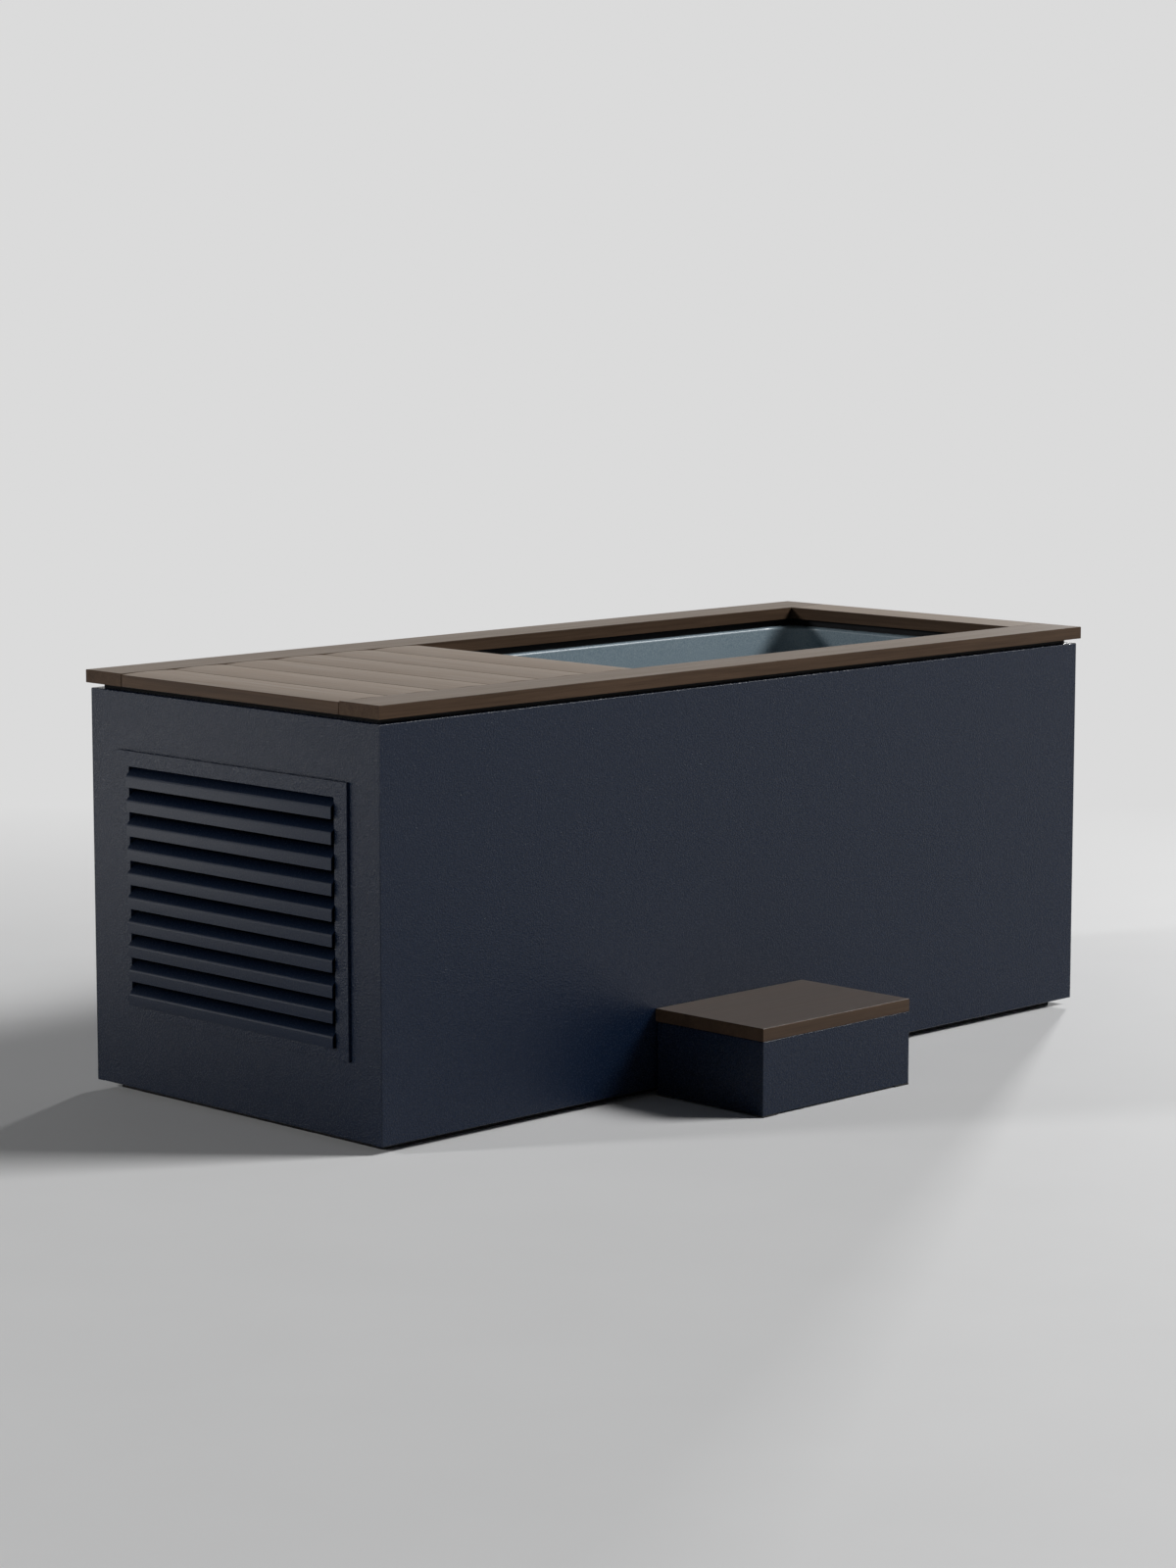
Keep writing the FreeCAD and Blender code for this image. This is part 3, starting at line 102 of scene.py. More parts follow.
def raised(tree, height, strength, distance):
    """The surface's normal, tilted by fine relief."""
    relief = make(tree, "Bump", {"Height": height, "Strength": strength, "Distance": distance})
    return relief.outputs["Normal"]


def surface_of(name):
    """A new material: its tree, its Principled shader and the object's own coordinates."""
    material = bpy.data.materials.new(name)
    material.use_nodes = True
    tree = material.node_tree
    place = make(tree, "TexCoord").outputs["Object"]
    return material, tree, tree.nodes["Principled BSDF"], place


def set_on(shader, values):
    """Writes what is the same all over the surface onto the shader's own sockets."""
    for label, value in values.items():
        shader.inputs[label].default_value = value


def finish_with(tree, shader, layer):
    """Joins a group's colour, roughness and normal to the shader."""
    tree.links.new(layer.outputs["Colour"], shader.inputs["Base Color"])
    tree.links.new(layer.outputs["Roughness"], shader.inputs["Roughness"])
    tree.links.new(layer.outputs["Normal"], shader.inputs["Normal"])


RESULTS = {"Colour": "Color", "Roughness": "Float", "Normal": "Vector"}
skin, given, result = shader_group(
    "worked_skin",
    {"Vector": "Vector", "Colour": "Color", "Shade": "Color", "Grain": "Float", "Relief": "Float",
     "Smooth": "Float", "Rough": "Float"},
    RESULTS)
drift_to_grain = 0.03
grit_height = 0.0006
grit = noise(skin, given["Vector"], given["Grain"], 3.0)
drift = noise(skin, given["Vector"], sums(skin, "MULTIPLY", given["Grain"], drift_to_grain), 2.0)
tone = spread(skin, sums(skin, "MULTIPLY", grit, drift), 0.15, 0.38, 0.0, 1.0)
put_out(
    skin, result,
    Colour=blended(skin, tone, given["Colour"], given["Shade"]),
    Roughness=spread(skin, grit, 0.35, 0.65, given["Smooth"], given["Rough"]),
    Normal=raised(skin, grit, given["Relief"], grit_height))


def skinned(name, colour, shade, grain, relief, smooth, rough, metallic=0.0, gloss=0.5):
    """A finish with a worked or moulded skin: two tones, fine grit and uneven roughness."""
    material, tree, shader, place = surface_of(name)
    layer = make(tree, "Group", {
        "Vector": place, "Colour": (*colour, 1.0), "Shade": (*shade, 1.0), "Grain": grain,
        "Relief": relief, "Smooth": smooth, "Rough": rough}, node_tree=skin)
    finish_with(tree, shader, layer)
    set_on(shader, {"Metallic": metallic, "Specular IOR Level": gloss})
    return material


def dress(material, *names):
    """Gives CAD pieces their finish."""
    for name in names:
        for slot in nodes[name].material_slots:
            slot.material = material


black_plastic = skinned(
    "black_plastic", (0.006, 0.006, 0.007), (0.012, 0.012, 0.013), 700.0, 0.25, 0.45, 0.65, gloss=0.12)
dress(black_plastic, "base_pan")


# FRAME AND BULKHEAD
# Square steel tube, cut and welded into a cage that carries the panels and the rim, with a steel sheet
# between the equipment bay and the tub. All of it is hot-dip galvanised, which leaves a spangle.

spangle, given, result = shader_group(
    "zinc_spangle", {"Vector": "Vector", "Bright": "Color", "Dull": "Color", "Flake": "Float"}, RESULTS)
flake_height = 0.0004
flakes = make(spangle, "TexVoronoi", {"Vector": given["Vector"], "Scale": given["Flake"]})
facet = make(spangle, "SeparateColor", {"Color": flakes.outputs["Color"]}).outputs[0]
mottle = noise(spangle, given["Vector"], 9.0, 4.0)
share = spread(spangle, sums(spangle, "MULTIPLY", facet, mottle), 0.1, 0.5, 0.0, 1.0)
put_out(
    spangle, result,
    Colour=blended(spangle, share, given["Dull"], given["Bright"]),
    Roughness=spread(spangle, facet, 0.0, 1.0, 0.34, 0.52),
    Normal=raised(spangle, facet, 0.02, flake_height))

zinc_steel, tree, shader, place = surface_of("zinc_steel")
zinc = make(tree, "Group", {
    "Vector": place, "Bright": (0.60, 0.61, 0.62, 1.0), "Dull": (0.42, 0.43, 0.45, 1.0), "Flake": 90.0},
    node_tree=spangle)
finish_with(tree, shader, zinc)
set_on(shader, {"Metallic": 1.0})
dress(zinc_steel, "frame_posts", "frame_base_rails", "frame_top_rails", "bulkhead")


# TUB
# A liner moulded in one piece from speckled blue-grey acrylic, with drafted walls, a dished floor and a
# rolled top edge that hangs on the frame. Foam is sprayed round it, and two wall fittings and a drain
# pass through it.

def linked(name, mesh, material):
    """A new object in the scene for a finished mesh."""
    mesh.materials.clear()
    mesh.materials.append(material)
    piece = bpy.data.objects.new(name, mesh)
    bpy.context.scene.collection.objects.link(piece)
    return piece


def stand_in(piece, body, slot, *replaced):
    """Ties a piece to its CAD body and hides the solids that it stands for; the slot is not used."""
    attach(piece, body)
    if replaced:
        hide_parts(*replaced)


def plain_mesh(piece):
    """What an object's modifiers make of it, as a mesh of its own."""
    bpy.context.view_layer.update()
    return bpy.data.meshes.new_from_object(piece.evaluated_get(bpy.context.evaluated_depsgraph_get()))


def settled(mesh):
    """Shades a mesh so that its broad faces stay flat and only its rounded edges turn the light."""
    mesh.shade_smooth()
    mesh.set_sharp_from_angle(angle=math.radians(50.0))
    bench = bpy.data.objects.new(mesh.name, mesh)
    bpy.context.scene.collection.objects.link(bench)
    weights = bench.modifiers.new("broad_faces_first", "WEIGHTED_NORMAL")
    weights.mode = "FACE_AREA"
    weights.weight = 90
    weights.keep_sharp = True
    shaded = plain_mesh(bench)
    shaded.name = mesh.name
    bpy.data.objects.remove(bench)
    return shaded


def eased(name, node, *rounds):
    """A solid's mesh with its triangles joined and its sharp edges rounded over.

    Each round gives a width, a number of steps and a test for the edges that it takes.
    """
    weld = 1e-6
    flat, crease = math.radians(0.3), math.radians(40.0)
    shape = bmesh.new()
    shape.from_mesh(nodes[node].data)
    bmesh.ops.remove_doubles(shape, verts=shape.verts, dist=weld)
    bmesh.ops.dissolve_limit(shape, angle_limit=flat, verts=shape.verts, edges=shape.edges)
    for width, segments, wanted in rounds:
        sharp = [edge for edge in shape.edges
                 if edge.is_manifold and edge.calc_face_angle() > crease and wanted(edge)]
        bmesh.ops.bevel(
            shape, geom=sharp, offset=width, offset_type="OFFSET", segments=segments, profile=0.5,
            affect="EDGES", clamp_overlap=True)
    bmesh.ops.triangulate(shape, faces=[face for face in shape.faces if len(face.verts) > 4])
    mesh = bpy.data.meshes.new(name)
    shape.to_mesh(mesh)
    shape.free()
    return settled(mesh)


liner_low, liner_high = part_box("tub_liner")
flange_width = 0.03
mouth_depth = 0.003
mouth_round = 0.007


def at_basin_mouth(edge):
    """Whether an edge runs round the mouth of the basin, inside the flange."""
    return all(
        vert.co.z > liner_high.z - mouth_depth
        and liner_low.x + flange_width < vert.co.x < liner_high.x - flange_width
        and abs(vert.co.y) < liner_high.y - flange_width
        for vert in edge.verts)


liner_grey = (0.190, 0.258, 0.303, 1.0)
liner_wash = (0.208, 0.276, 0.319, 1.0)
liner_fleck = (0.326, 0.395, 0.436, 1.0)
speck_height = 0.0005
acrylic, tree, shader, place = surface_of("speckled_acrylic")
speck = noise(tree, place, 420.0, 2.0, roughness=0.7)
wash = spread(tree, noise(tree, place, 7.0, 2.0), 0.35, 0.65, 0.0, 1.0)
tint = blended(tree, wash, liner_grey, liner_wash)
fleck = spread(tree, speck, 0.45, 0.75, 0.0, 1.0)
for label, socket in (
    ("Base Color", blended(tree, fleck, tint, liner_fleck)),
    ("Roughness", spread(tree, speck, 0.35, 0.65, 0.26, 0.38)),
    ("Normal", raised(tree, speck, 0.12, speck_height)),
):
    tree.links.new(socket, shader.inputs[label])
shell = eased("tub_liner_shell", "tub_liner", (mouth_round, 5, at_basin_mouth))
liner = linked("tub_liner_shell", shell, acrylic)
stand_in(liner, "case", "liner_blue_grey", "tub_liner")

spray_foam = skinned("spray_foam", (0.62, 0.55, 0.38), (0.72, 0.66, 0.50), 60.0, 0.9, 0.75, 0.92)
dress(spray_foam, "insulation")
grey_pvc = skinned("grey_pvc", (0.20, 0.21, 0.22), (0.25, 0.26, 0.27), 320.0, 0.08, 0.36, 0.48)
dress(grey_pvc, "suction_fitting", "return_fitting", "drain_fitting")


# CHILLER
# Behind the louvre stands a refrigeration unit: a finned condenser with its fan, a hermetic compressor on
# rubber mounts and a plate heat exchanger, on a zinc tray and joined by bent copper tube.

rows = bpy.data.node_groups.new("pieces_in_a_row", "GeometryNodeTree")
rows.interface.new_socket("Piece", in_out="INPUT", socket_type="NodeSocketGeometry")
for label, kind in (("Count", "Int"), ("Step", "Vector"), ("Ceiling", "Float"), ("Finish", "Material")):
    rows.interface.new_socket(label, in_out="INPUT", socket_type="NodeSocket" + kind)
rows.interface.new_socket("Row", in_out="OUTPUT", socket_type="NodeSocketGeometry")
entry = rows.nodes.new("NodeGroupInput").outputs
stations = rows.nodes.new("GeometryNodeMeshLine")
copies = rows.nodes.new("GeometryNodeInstanceOnPoints")
where = rows.nodes.new("GeometryNodeInputPosition")
parts = rows.nodes.new("ShaderNodeSeparateXYZ")
over = rows.nodes.new("ShaderNodeMath")
over.operation = "SUBTRACT"
excess = rows.nodes.new("ShaderNodeMath")
excess.operation = "MAXIMUM"
excess.inputs[1].default_value = 0.0
slide = rows.nodes.new("ShaderNodeCombineXYZ")
back_down = rows.nodes.new("ShaderNodeVectorMath")
back_down.operation = "SCALE"
back_down.inputs["Scale"].default_value = -1.0
trim = rows.nodes.new("GeometryNodeSetPosition")
solid = rows.nodes.new("GeometryNodeRealizeInstances")
painted = rows.nodes.new("GeometryNodeSetMaterial")
for source, target in (
    (entry["Count"], stations.inputs["Count"]),
    (entry["Step"], stations.inputs["Offset"]),
    (stations.outputs["Mesh"], copies.inputs["Points"]),
    (entry["Piece"], copies.inputs["Instance"]),
    (copies.outputs["Instances"], solid.inputs["Geometry"]),
    (where.outputs["Position"], parts.inputs["Vector"]),
    (parts.outputs["Z"], over.inputs[0]),
    (entry["Ceiling"], over.inputs[1]),
    (over.outputs[0], excess.inputs[0]),
    (excess.outputs[0], slide.inputs["X"]),
    (excess.outputs[0], slide.inputs["Z"]),
    (slide.outputs["Vector"], back_down.inputs[0]),
    (solid.outputs["Geometry"], trim.inputs["Geometry"]),
    (back_down.outputs["Vector"], trim.inputs["Offset"]),
    (trim.outputs["Geometry"], painted.inputs["Geometry"]),
    (entry["Finish"], painted.inputs["Material"]),
    (painted.outputs["Geometry"], rows.nodes.new("NodeGroupOutput").inputs["Row"]),
):
    rows.links.new(source, target)

open_above = 10.0


def row_of(name, first, material, count, step, ceiling=open_above):
    """A row of like pieces from its first one; what rises past the ceiling slides back down its slope."""
    piece = linked(name, first, material)
    modifier = piece.modifiers.new("row", "NODES")
    modifier.node_group = rows
    wanted = {"Count": count, "Step": step, "Ceiling": ceiling, "Finish": material}
    for socket in rows.interface.items_tree:
        if socket.in_out == "INPUT" and socket.name in wanted:
            modifier[socket.identifier] = wanted[socket.name]
    mesh = plain_mesh(piece)
    piece.modifiers.remove(modifier)
    piece.data = mesh
    mesh.name = name
    return piece


def bar(shape, low, high):
    """Adds a rectangular bar between two corners."""
    corners = [shape.verts.new((x, y, z))
               for x in (low[0], high[0]) for y in (low[1], high[1]) for z in (low[2], high[2])]
    for ring in ((0, 1, 3, 2), (4, 6, 7, 5), (0, 4, 5, 1), (2, 3, 7, 6), (0, 2, 6, 4), (1, 5, 7, 3)):
        shape.faces.new([corners[index] for index in ring])


def mesh_of(name, shape):
    """A finished mesh from a shape, with its faces turned outwards."""
    bmesh.ops.recalc_face_normals(shape, faces=shape.faces)
    mesh = bpy.data.meshes.new(name)
    shape.to_mesh(mesh)
    shape.free()
    return mesh


coil_low, coil_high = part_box("condenser_coil")
plate = 0.004
fin_pitch = 0.004
fin_thickness = 0.0004
fin_setback = 0.003
fin_start = coil_low.y + plate + fin_pitch / 2
fin_count = int((coil_high.y - coil_low.y - 2 * plate) / fin_pitch)
fin = bmesh.new()
bar(fin, (coil_low.x + fin_setback, fin_start, coil_low.z),
    (coil_high.x - fin_setback, fin_start + fin_thickness, coil_high.z))
fin_aluminium = skinned(
    "fin_aluminium", (0.60, 0.61, 0.62), (0.72, 0.73, 0.74), 160.0, 0.15, 0.30, 0.45, metallic=1.0)
fins = row_of(
    "condenser_fins", mesh_of("condenser_fins", fin), fin_aluminium, fin_count, (0.0, fin_pitch, 0.0))
stand_in(fins, "case", "fin_aluminium", "condenser_coil")

end_plate = bmesh.new()
bar(end_plate, coil_low, (coil_high.x, coil_low.y + plate, coil_high.z))
plates = row_of(
    "condenser_end_plates", mesh_of("condenser_end_plates", end_plate), zinc_steel, 2,
    (0.0, coil_high.y - coil_low.y - plate, 0.0))
stand_in(plates, "case", "zinc_steel")

tube_radius = 0.005
tube_pitch = 0.05
tube_rows = 9
tube_sides = 12
tube_stub = 0.006
tube_length = coil_high.y - coil_low.y + 2 * tube_stub
tube_start = ((coil_low.x + coil_high.x) / 2, 0.0, coil_low.z + tube_pitch)
laid_along_y = Matrix.Translation(tube_start) @ Matrix.Rotation(math.pi / 2, 4, "X")
tube = bmesh.new()
bmesh.ops.create_cone(
    tube, cap_ends=True, segments=tube_sides, radius1=tube_radius, radius2=tube_radius,
    depth=tube_length, matrix=laid_along_y)
bare_copper = skinned(
    "bare_copper", (0.62, 0.29, 0.16), (0.70, 0.38, 0.22), 220.0, 0.06, 0.24, 0.42, metallic=1.0)
tubes = row_of(
    "condenser_tubes", mesh_of("condenser_tubes", tube), bare_copper, tube_rows, (0.0, 0.0, tube_pitch))
stand_in(tubes, "case", "copper")

dress(bare_copper, "refrigerant_lines")
dress(zinc_steel, "chiller_tray", "heat_exchanger")
dress(black_plastic, "fan_shroud")
machine_black = skinned(
    "machine_black", (0.012, 0.012, 0.013), (0.022, 0.022, 0.023), 260.0, 0.2, 0.28, 0.42)
dress(machine_black, "compressor", "fan_rotor")
machine_grey = skinned(
    "machine_grey", (0.075, 0.080, 0.086), (0.100, 0.105, 0.110), 300.0, 0.2, 0.36, 0.50)
dress(machine_grey, "fan_motor")
black_rubber = skinned(
    "black_rubber", (0.014, 0.014, 0.014), (0.024, 0.024, 0.023), 480.0, 0.3, 0.72, 0.88)
dress(black_rubber, "compressor_mounts")


# WATER CIRCUIT
# A pump draws water from the tub through a pleated filter and the heat exchanger in rigid PVC pipe. The
# drain runs low along the bay to a ball valve with a lever. The controls sit in a white box on the bulkhead.

white_plastic = skinned(
    "white_plastic", (0.66, 0.66, 0.64), (0.74, 0.74, 0.72), 360.0, 0.08, 0.38, 0.50)
dress(white_plastic, "filter_housing", "filter_lid", "pump_impeller", "control_box", "control_box_lid")
dress(machine_grey, "pump_motor")
dress(grey_pvc, "pump_volute", "water_pipes", "drain_pipe", "drain_valve_body", "drain_valve_lever")
pleated_paper = skinned(
    "pleated_paper", (0.74, 0.73, 0.68), (0.82, 0.81, 0.77), 180.0, 0.6, 0.80, 0.92)
dress(pleated_paper, "filter_cartridge")


# PANELS
# Four panels of folded steel sheet hang on the frame, two long and two short, with their edges turned in.
# Their navy powder coat is fine and slightly pebbled, and its glaze is uneven, so it glints in raking light.

powder, given, result = shader_group(
    "powder_coat", {"Vector": "Vector", "Colour": "Color", "Fleck": "Color"}, {**RESULTS, "Glaze": "Float"})
grain_to_peel = 0.12
pebble_height = 0.0013
most_glaze = 0.18
peel = noise(powder, given["Vector"], 300.0, 1.0)
grain = noise(powder, given["Vector"], 600.0, 2.0)
pebble = sums(powder, "MULTIPLY_ADD", grain, grain_to_peel, peel)
flecks = spread(powder, grain, 0.60, 0.80, 0.0, 0.6)
put_out(
    powder, result,
    Colour=blended(powder, flecks, given["Colour"], given["Fleck"]),
    Roughness=spread(powder, peel, 0.35, 0.65, 0.20, 0.30),
    Normal=raised(powder, pebble, 1.0, pebble_height),
    Glaze=spread(powder, grain, 0.36, 0.64, 0.0, most_glaze))

coat_colour = (0.0040, 0.0105, 0.0275, 1.0)
coat_fleck = (0.020, 0.027, 0.045, 1.0)
coat_gloss = 0.205
glaze_roughness = 0.28
navy, tree, shader, place = surface_of("navy_powder_coat")
coat = make(tree, "Group", {"Vector": place, "Colour": coat_colour, "Fleck": coat_fleck}, node_tree=powder)
finish_with(tree, shader, coat)
tree.links.new(coat.outputs["Glaze"], shader.inputs["Coat Weight"])
set_on(shader, {"Coat Roughness": glaze_roughness, "Specular IOR Level": coat_gloss})

touching = 1e-4
shortest_eased = 0.001
sheet_fold = 0.0025
sheet_ease = 0.0008


def worth_easing(edge):
    """Whether an edge is long enough to ease."""
    return edge.calc_length() > shortest_eased


def at_fold(node, axis, side):
    """Picks the edges at the head and foot of a panel's outer face, where the sheet is folded in."""
    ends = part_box(node)
    outer = ends[side][axis]
    return lambda edge: any(
        all(abs(vert.co[axis] - outer) < touching and abs(vert.co.z - end.z) < touching
            for vert in edge.verts)
        for end in ends)


for node, axis, side in (
    ("front_panel", 1, 0), ("rear_panel", 1, 1), ("louvre_end_panel", 0, 0), ("plain_end_panel", 0, 1),
):
    folded = eased(
        node + "_sheet", node, (sheet_fold, 4, at_fold(node, axis, side)), (sheet_ease, 2, worth_easing))
    stand_in(linked(node + "_sheet", folded, navy), "case", "navy_powder_coat", node)


# LOUVRE
# A flanged frame let into the end panel, with a row of sheet-metal blades between its stiles. Each blade
# is a lip folded over a soft bend into a slope that rises inwards to shed rain. Frame and blades are
# coated navy; deeper inside, the blades carry painted shade, their colour darkened and their glaze dulled.

flanged = eased("louvre_surround", "louvre_frame", (sheet_ease, 2, worth_easing))
surround = linked("louvre_surround", flanged, navy)
stand_in(surround, "case", "navy_powder_coat", "louvre_frame")

blades_low, blades_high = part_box("louvre_blades")
blade_count = 10
head_gap = 0.017
lip_height = 0.022
blade_run = 0.044
blade_sheet = 0.002
bend_radius = 0.008
bend_steps = 6
slope_angle = math.pi / 4
bend_tangent = bend_radius * math.tan(slope_angle / 2)
bend_centre = (blades_low.x + bend_radius, blades_low.z + lip_height - bend_tangent)
outside = [(blades_low.x, blades_low.z)]
inside = [(blades_low.x + blade_sheet, blades_low.z)]
for step in range(bend_steps + 1):
    angle = math.pi - slope_angle * step / bend_steps
    for line, radius in ((outside, bend_radius), (inside, bend_radius - blade_sheet)):
        line.append((bend_centre[0] + radius * math.cos(angle), bend_centre[1] + radius * math.sin(angle)))
slope = blade_run / math.cos(slope_angle) - bend_tangent
for line in (outside, inside):
    x, z = line[-1]
    line.append((x + slope * math.cos(slope_angle), z + slope * math.sin(slope_angle)))
blade = bmesh.new()
section = outside + inside[::-1]
near, far = ([blade.verts.new((x, y, z)) for x, z in section] for y in (blades_low.y, blades_high.y))
for index in range(len(section)):
    after = (index + 1) % len(section)
    blade.faces.new((near[index], near[after], far[after], far[index]))
for cap in (near, far):
    for index in range(len(outside) - 1):
        mirror = len(section) - 1 - index
        blade.faces.new((cap[index], cap[index + 1], cap[mirror - 1], cap[mirror]))
blade_pitch = (blades_high.z - head_gap - lip_height - blades_low.z) / (blade_count - 1)


def along(tree, place, axis):
    """How far along an axis a point of the surface lies."""
    return make(tree, "SeparateXYZ", {"Vector": place}).outputs[axis]


# Painted shade: behind the lip face, the slats' colour fades to near black and their glaze to none.
painted_shade_colour = (0.0006, 0.0013, 0.0032, 1.0)
slat_gloss = 0.03
shade_start, shade_full = 0.003, 0.018
lip_glaze = 0.37
slat_coat, tree, shader, place = surface_of("navy_slat_coat")
# The painted shade mask: 0 at the lip face, 1 deep inside the louvre.
painted_shade_mask = spread(
    tree, along(tree, place, "X"), blades_low.x + shade_start, blades_low.x + shade_full, 0.0, 1.0)
coat = make(tree, "Group", {
    "Vector": place, "Colour": blended(tree, painted_shade_mask, coat_colour, painted_shade_colour),
    "Fleck": blended(tree, painted_shade_mask, coat_fleck, painted_shade_colour)}, node_tree=powder)
finish_with(tree, shader, coat)
tree.links.new(spread(tree, painted_shade_mask, 0.0, 1.0, lip_glaze, 0.0), shader.inputs["Coat Weight"])
set_on(shader, {"Coat Roughness": glaze_roughness, "Specular IOR Level": slat_gloss})
blades = row_of(
    "louvre_slats", mesh_of("louvre_slats", blade), slat_coat, blade_count, (0.0, 0.0, blade_pitch),
    ceiling=blades_high.z)
blades.data.shade_smooth()
blades.data.set_sharp_from_angle(angle=math.radians(20.0))
stand_in(blades, "case", "navy_powder_coat", "louvre_blades")


# RIM
# A black ring of solid plastic sits on the case, set back to leave a shadow gap. It carries three boards of
# fine-grained taupe hardwood, two long rails and an end rail between them, oiled and not varnished.

dress(black_plastic, "rim_spacer")

wood, given, result = shader_group(
    "hardwood_grain",
    {"Vector": "Vector", "Light": "Color", "Dark": "Color", "Board": "Float"},
    RESULTS)
next_cut = (3.7, 1.3, 7.9)
shift = make(wood, "VectorMath", {0: next_cut, "Scale": given["Board"]}, operation="SCALE").outputs[0]
cut = make(wood, "VectorMath", {0: given["Vector"], 1: shift}, operation="ADD").outputs[0]


def along_grain(scale, detail, distortion):
    """Noise drawn out along the grain, which runs along X."""
    stretched = make(wood, "Mapping", {"Vector": cut, "Scale": scale}).outputs["Vector"]
    return noise(wood, stretched, 1.0, detail, roughness=0.65, distortion=distortion)


fibre_height = 0.0005
fibre = along_grain((5.0, 230.0, 230.0), 5.0, 0.3)
growth = along_grain((0.9, 17.0, 17.0), 3.0, 1.2)
pore = spread(wood, along_grain((28.0, 900.0, 900.0), 1.0, 0.0), 0.58, 0.72, 0.0, 0.45)
figure = spread(wood, sums(wood, "ADD", fibre, growth), 0.75, 1.25, 0.0, 1.0)
put_out(
    wood, result,
    Colour=blended(wood, pore, blended(wood, figure, given["Dark"], given["Light"]), given["Dark"]),
    Roughness=spread(wood, fibre, 0.35, 0.65, 0.30, 0.42),
    Normal=raised(wood, fibre, 0.18, fibre_height))

wood_light = (0.104, 0.0640, 0.0405)
wood_dark = (0.060, 0.0363, 0.0225)
bloom_tint = (1.0, 0.82, 0.64, 1.0)


def hardwood(name, turn, board_of, depth, gloss, bloom):
    """The wood with its grain turned about Z and a cut for each board; oil sets depth, gloss and bloom."""
    material, tree, shader, place = surface_of(name)
    turned = make(tree, "Mapping", {"Vector": place, "Rotation": (0.0, 0.0, turn)}).outputs["Vector"]
    light, dark = ((*(part * depth for part in tone), 1.0) for tone in (wood_light, wood_dark))
    layer = make(tree, "Group", {
        "Vector": turned, "Light": light, "Dark": dark, "Board": board_of(tree, place)}, node_tree=wood)
    finish_with(tree, shader, layer)
    set_on(shader, {
        "Specular IOR Level": gloss, "Sheen Weight": bloom, "Sheen Roughness": 0.4, "Sheen Tint": bloom_tint})
    return material


def by_side(tree, place):
    """A different cut for the front and the rear rail."""
    return sums(tree, "GREATER_THAN", along(tree, place, "Y"), 0.0)


rail_wood = hardwood("rail_hardwood", 0.0, by_side, depth=0.85, gloss=0.055, bloom=0.19)
dress(rail_wood, "rim_front_rail", "rim_rear_rail")


# DECK
# Six crowned boards of the same hardwood lie across the louvre end, screwed from below to two black
# battens. They lift together as one hatch on three zinc butt hinges under the edge that faces the tub.

board_names = [f"deck_board_{index}" for index in range(1, 7)]
first_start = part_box(board_names[0])[0].x
board_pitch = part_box(board_names[1])[0].x - first_start
board_margin = 0.001
board_ease = 0.0012
longest_hole_edge = 0.01


def by_board(tree, place):
    """A different cut for each board, counted along the deck."""
    start = sums(tree, "SUBTRACT", along(tree, place, "X"), first_start - board_margin)
    return sums(tree, "FLOOR", sums(tree, "DIVIDE", start, board_pitch))


deck_wood = hardwood("deck_hardwood", math.pi / 2, by_board, depth=1.0, gloss=0.08, bloom=0.28)
dress(deck_wood, "rim_end_rail")


def along_board(edge):
    """Whether an edge is one of a board's own, and not the rim of a screw hole."""
    return edge.calc_length() > longest_hole_edge


for name in board_names:
    plank = linked(name + "_plank", eased(name + "_plank", name, (board_ease, 2, along_board)), deck_wood)
    stand_in(plank, "hatch", "taupe_wood", name)
dress(black_plastic, "hatch_battens")
dress(zinc_steel, "hatch_screws", "hinge_base_leaves", "hinge_deck_leaves", "hinge_pins")


# REAR FITTINGS
# Low on the rear panel are the drain's threaded outlet, a cable gland and a rocker switch in its bezel,
# each clamped through the sheet by a nut or a snap-in collar.

dress(grey_pvc, "drain_port")
dress(black_plastic, "cable_gland", "switch_bezel")
gloss_black = skinned(
    "gloss_black", (0.012, 0.012, 0.012), (0.016, 0.016, 0.016), 300.0, 0.03, 0.16, 0.24)
dress(gloss_black, "power_switch")


# STEP
# A free-standing step at the middle of the front panel: a folded steel box, coated like the panels, on
# four rubber pads, with a hardwood board screwed down from inside. The board's tread is waxed, so it
# shines more than its edges do.

box_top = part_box("step_box")[1].z


def round_the_top(edge):
    """Whether an edge is folded round the top of the box."""
    return all(box_top - vert.co.z < touching for vert in edge.verts)


folded = eased("step_box_sheet", "step_box", (sheet_fold, 4, round_the_top), (sheet_ease, 2, worth_easing))
stand_in(linked("step_box_sheet", folded, navy), "step", "navy_powder_coat", "step_box")

wax_index = 1.9
wax_roughness = 0.36
wax_reach = 0.0005
tread_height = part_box("step_top")[1].z
step_wood = hardwood("step_hardwood", 0.0, by_side, depth=0.78, gloss=0.12, bloom=0.16)
tree = step_wood.node_tree
shader = tree.nodes["Principled BSDF"]
level = along(tree, make(tree, "TexCoord").outputs["Object"], "Z")
waxed = sums(tree, "GREATER_THAN", level, tread_height - wax_reach)
tree.links.new(waxed, shader.inputs["Coat Weight"])
set_on(shader, {"Coat IOR": wax_index, "Coat Roughness": wax_roughness})
dress(step_wood, "step_top")
dress(black_rubber, "step_pads")


# STUDIO
# A plain pale floor that runs out into the backdrop's grey, a large soft lamp from the right, two soft
# lamps from behind on either side, a small low one by the louvre end, and the camera at the photo's angle.

BACKDROP = (0.708, 0.708, 0.708, 1.0)
scene = bpy.context.scene
scene.view_settings.view_transform = "Standard"


def seen_directly(tree):
    """1 for rays that show the background: straight from the camera, mirrored or through glass."""
    path = make(tree, "LightPath").outputs
    straight_or_mirrored = sums(tree, "MAXIMUM", path["Is Camera Ray"], path["Is Glossy Ray"])
    return sums(tree, "MAXIMUM", straight_or_mirrored, path["Is Transmission Ray"])


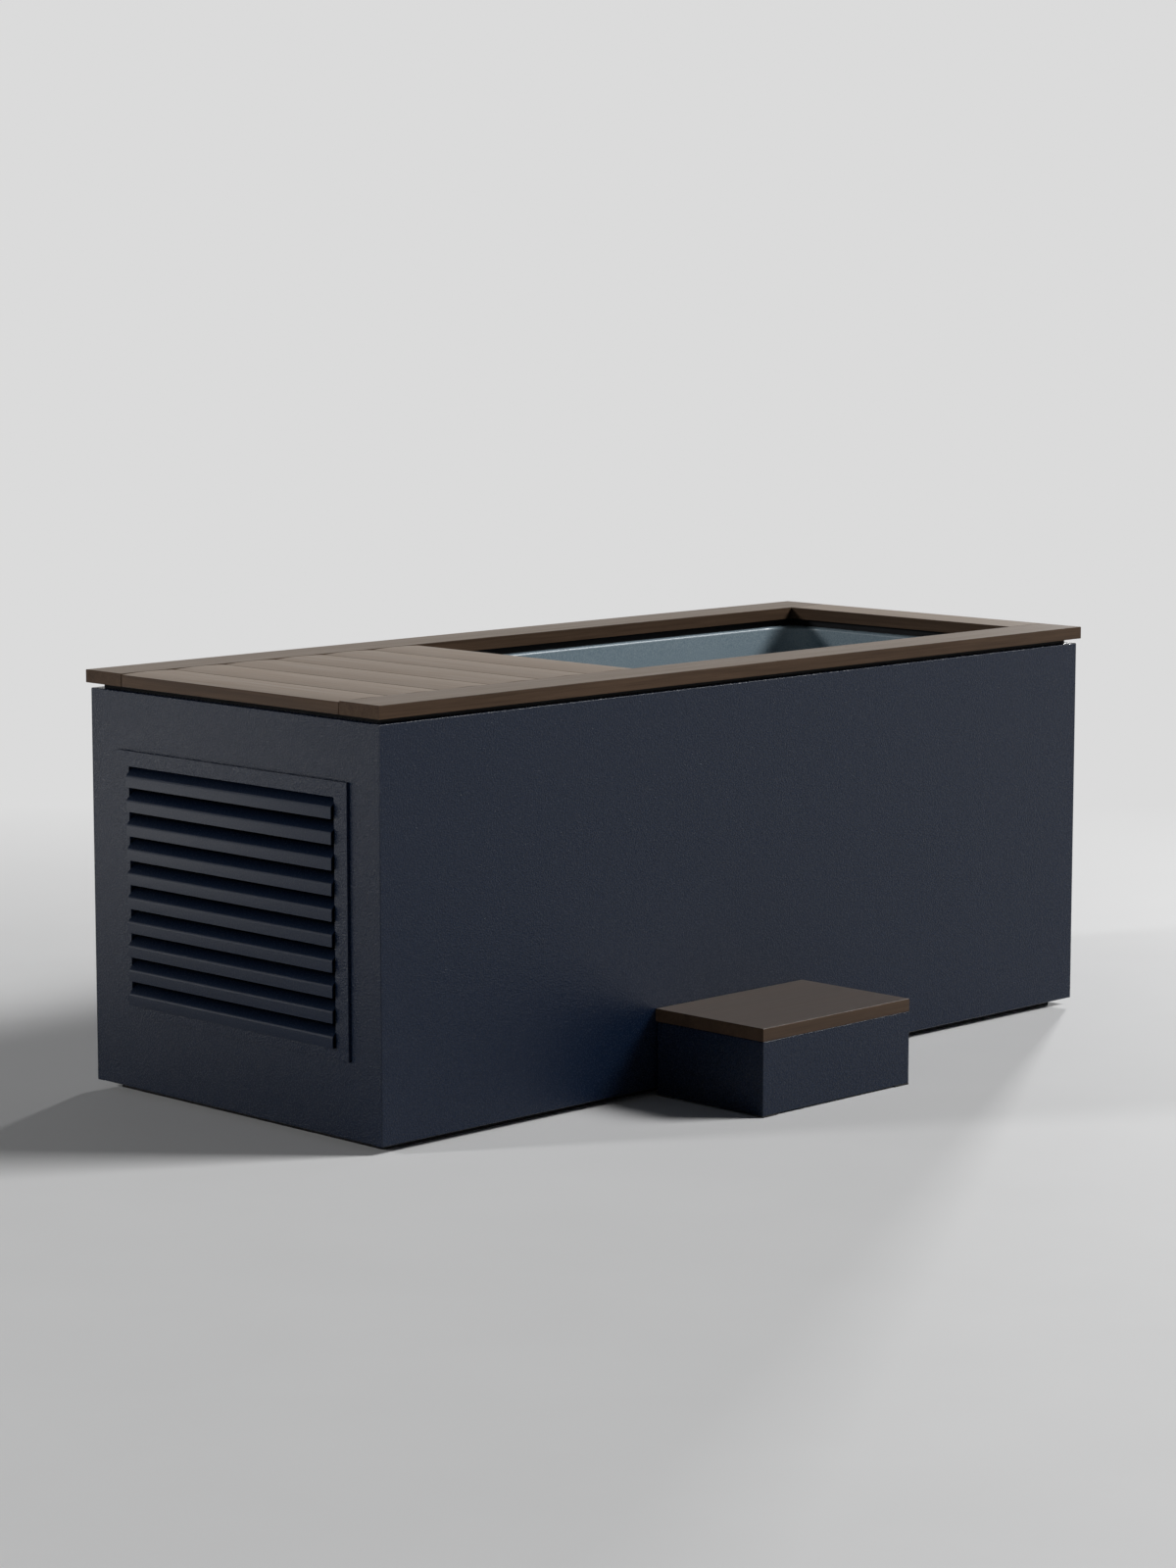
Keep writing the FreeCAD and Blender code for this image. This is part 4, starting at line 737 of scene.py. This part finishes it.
world = bpy.data.worlds.new("studio")
world.use_nodes = True
scene.world = world
sky = world.node_tree
sky.nodes.clear()
ambient = make(sky, "Background", {"Color": (0.9, 0.95, 1.0, 1.0), "Strength": 0.035})
upward = along(sky, make(sky, "TexCoord").outputs["Generated"], "Z")
dark_ceiling = spread(sky, upward, 0.25, 0.55, 1.0, 0.03)
shown = make(sky, "Background", {"Color": BACKDROP, "Strength": dark_ceiling})
either = make(sky, "MixShader", {0: seen_directly(sky), 1: ambient.outputs[0], 2: shown.outputs[0]})
sky.links.new(either.outputs[0], make(sky, "OutputWorld").inputs["Surface"])

half_floor = 20.0
floor_drop = 0.0003
away_from_camera = (0.7077, 0.7065, 0.0)
fade_start, fade_full = 0.9, 3.4
floor_shape = bmesh.new()
floor_shape.faces.new([
    floor_shape.verts.new((x * half_floor, y * half_floor, -floor_drop))
    for x, y in ((-1, -1), (1, -1), (1, 1), (-1, 1))])
pale, tree, shader, place = surface_of("pale_floor")
scuffed = blended(tree, noise(tree, place, 3.0, 5.0), (0.74, 0.74, 0.74, 1.0), (0.78, 0.78, 0.78, 1.0))
tree.links.new(scuffed, shader.inputs["Base Color"])
set_on(shader, {"Roughness": 0.75, "Specular IOR Level": 0.2})
away = make(tree, "VectorMath", {0: place, 1: away_from_camera}, operation="DOT_PRODUCT").outputs["Value"]
fade = sums(
    tree, "MULTIPLY", spread(tree, away, fade_start, fade_full, 0.0, 1.0), seen_directly(tree))
glow = make(tree, "Emission", {"Color": BACKDROP, "Strength": 1.0})
ground = make(tree, "MixShader", {0: fade, 1: shader.outputs[0], 2: glow.outputs[0]})
tree.links.new(ground.outputs[0], tree.nodes["Material Output"].inputs["Surface"])
floor = linked("floor", mesh_of("floor", floor_shape), pale)

middle = Vector((0.0, 0.0, 0.4))
for name, stand, size, power in (
    ("key_lamp", (17.8, -15.4, 18.8), (8.6, 9.6), 7800.0),
    ("right_rear_lamp", (12.8, 6.6, 3.3), (1.0, 1.0), 750.0),
    ("left_rear_lamp", (-12.3, 6.4, 5.2), (1.5, 1.5), 600.0),
    ("low_left_lamp", (-2.5, 2.1, 0.3), (0.6, 0.4), 2.45),
):
    lamp = bpy.data.lights.new(name, "AREA")
    lamp.shape = "RECTANGLE"
    lamp.size, lamp.size_y = size
    lamp.energy = power
    holder = bpy.data.objects.new(name, lamp)
    holder.location = stand
    holder.rotation_mode = "QUATERNION"
    holder.rotation_quaternion = (holder.location - middle).to_track_quat("Z", "Y")
    scene.collection.objects.link(holder)

lens = bpy.data.cameras.new("camera")
lens.sensor_width = 36.0
lens.lens = 90.54
camera = bpy.data.objects.new("camera", lens)
azimuth, elevation = math.radians(-45.05), math.radians(7.942)
behind = Vector((
    math.sin(azimuth) * math.cos(elevation), -math.cos(azimuth) * math.cos(elevation), math.sin(elevation)))
camera.location = (-5.6675, -5.5974, 1.6493)
camera.rotation_mode = "QUATERNION"
camera.rotation_quaternion = behind.to_track_quat("Z", "Y")
scene.collection.objects.link(camera)
scene.camera = camera
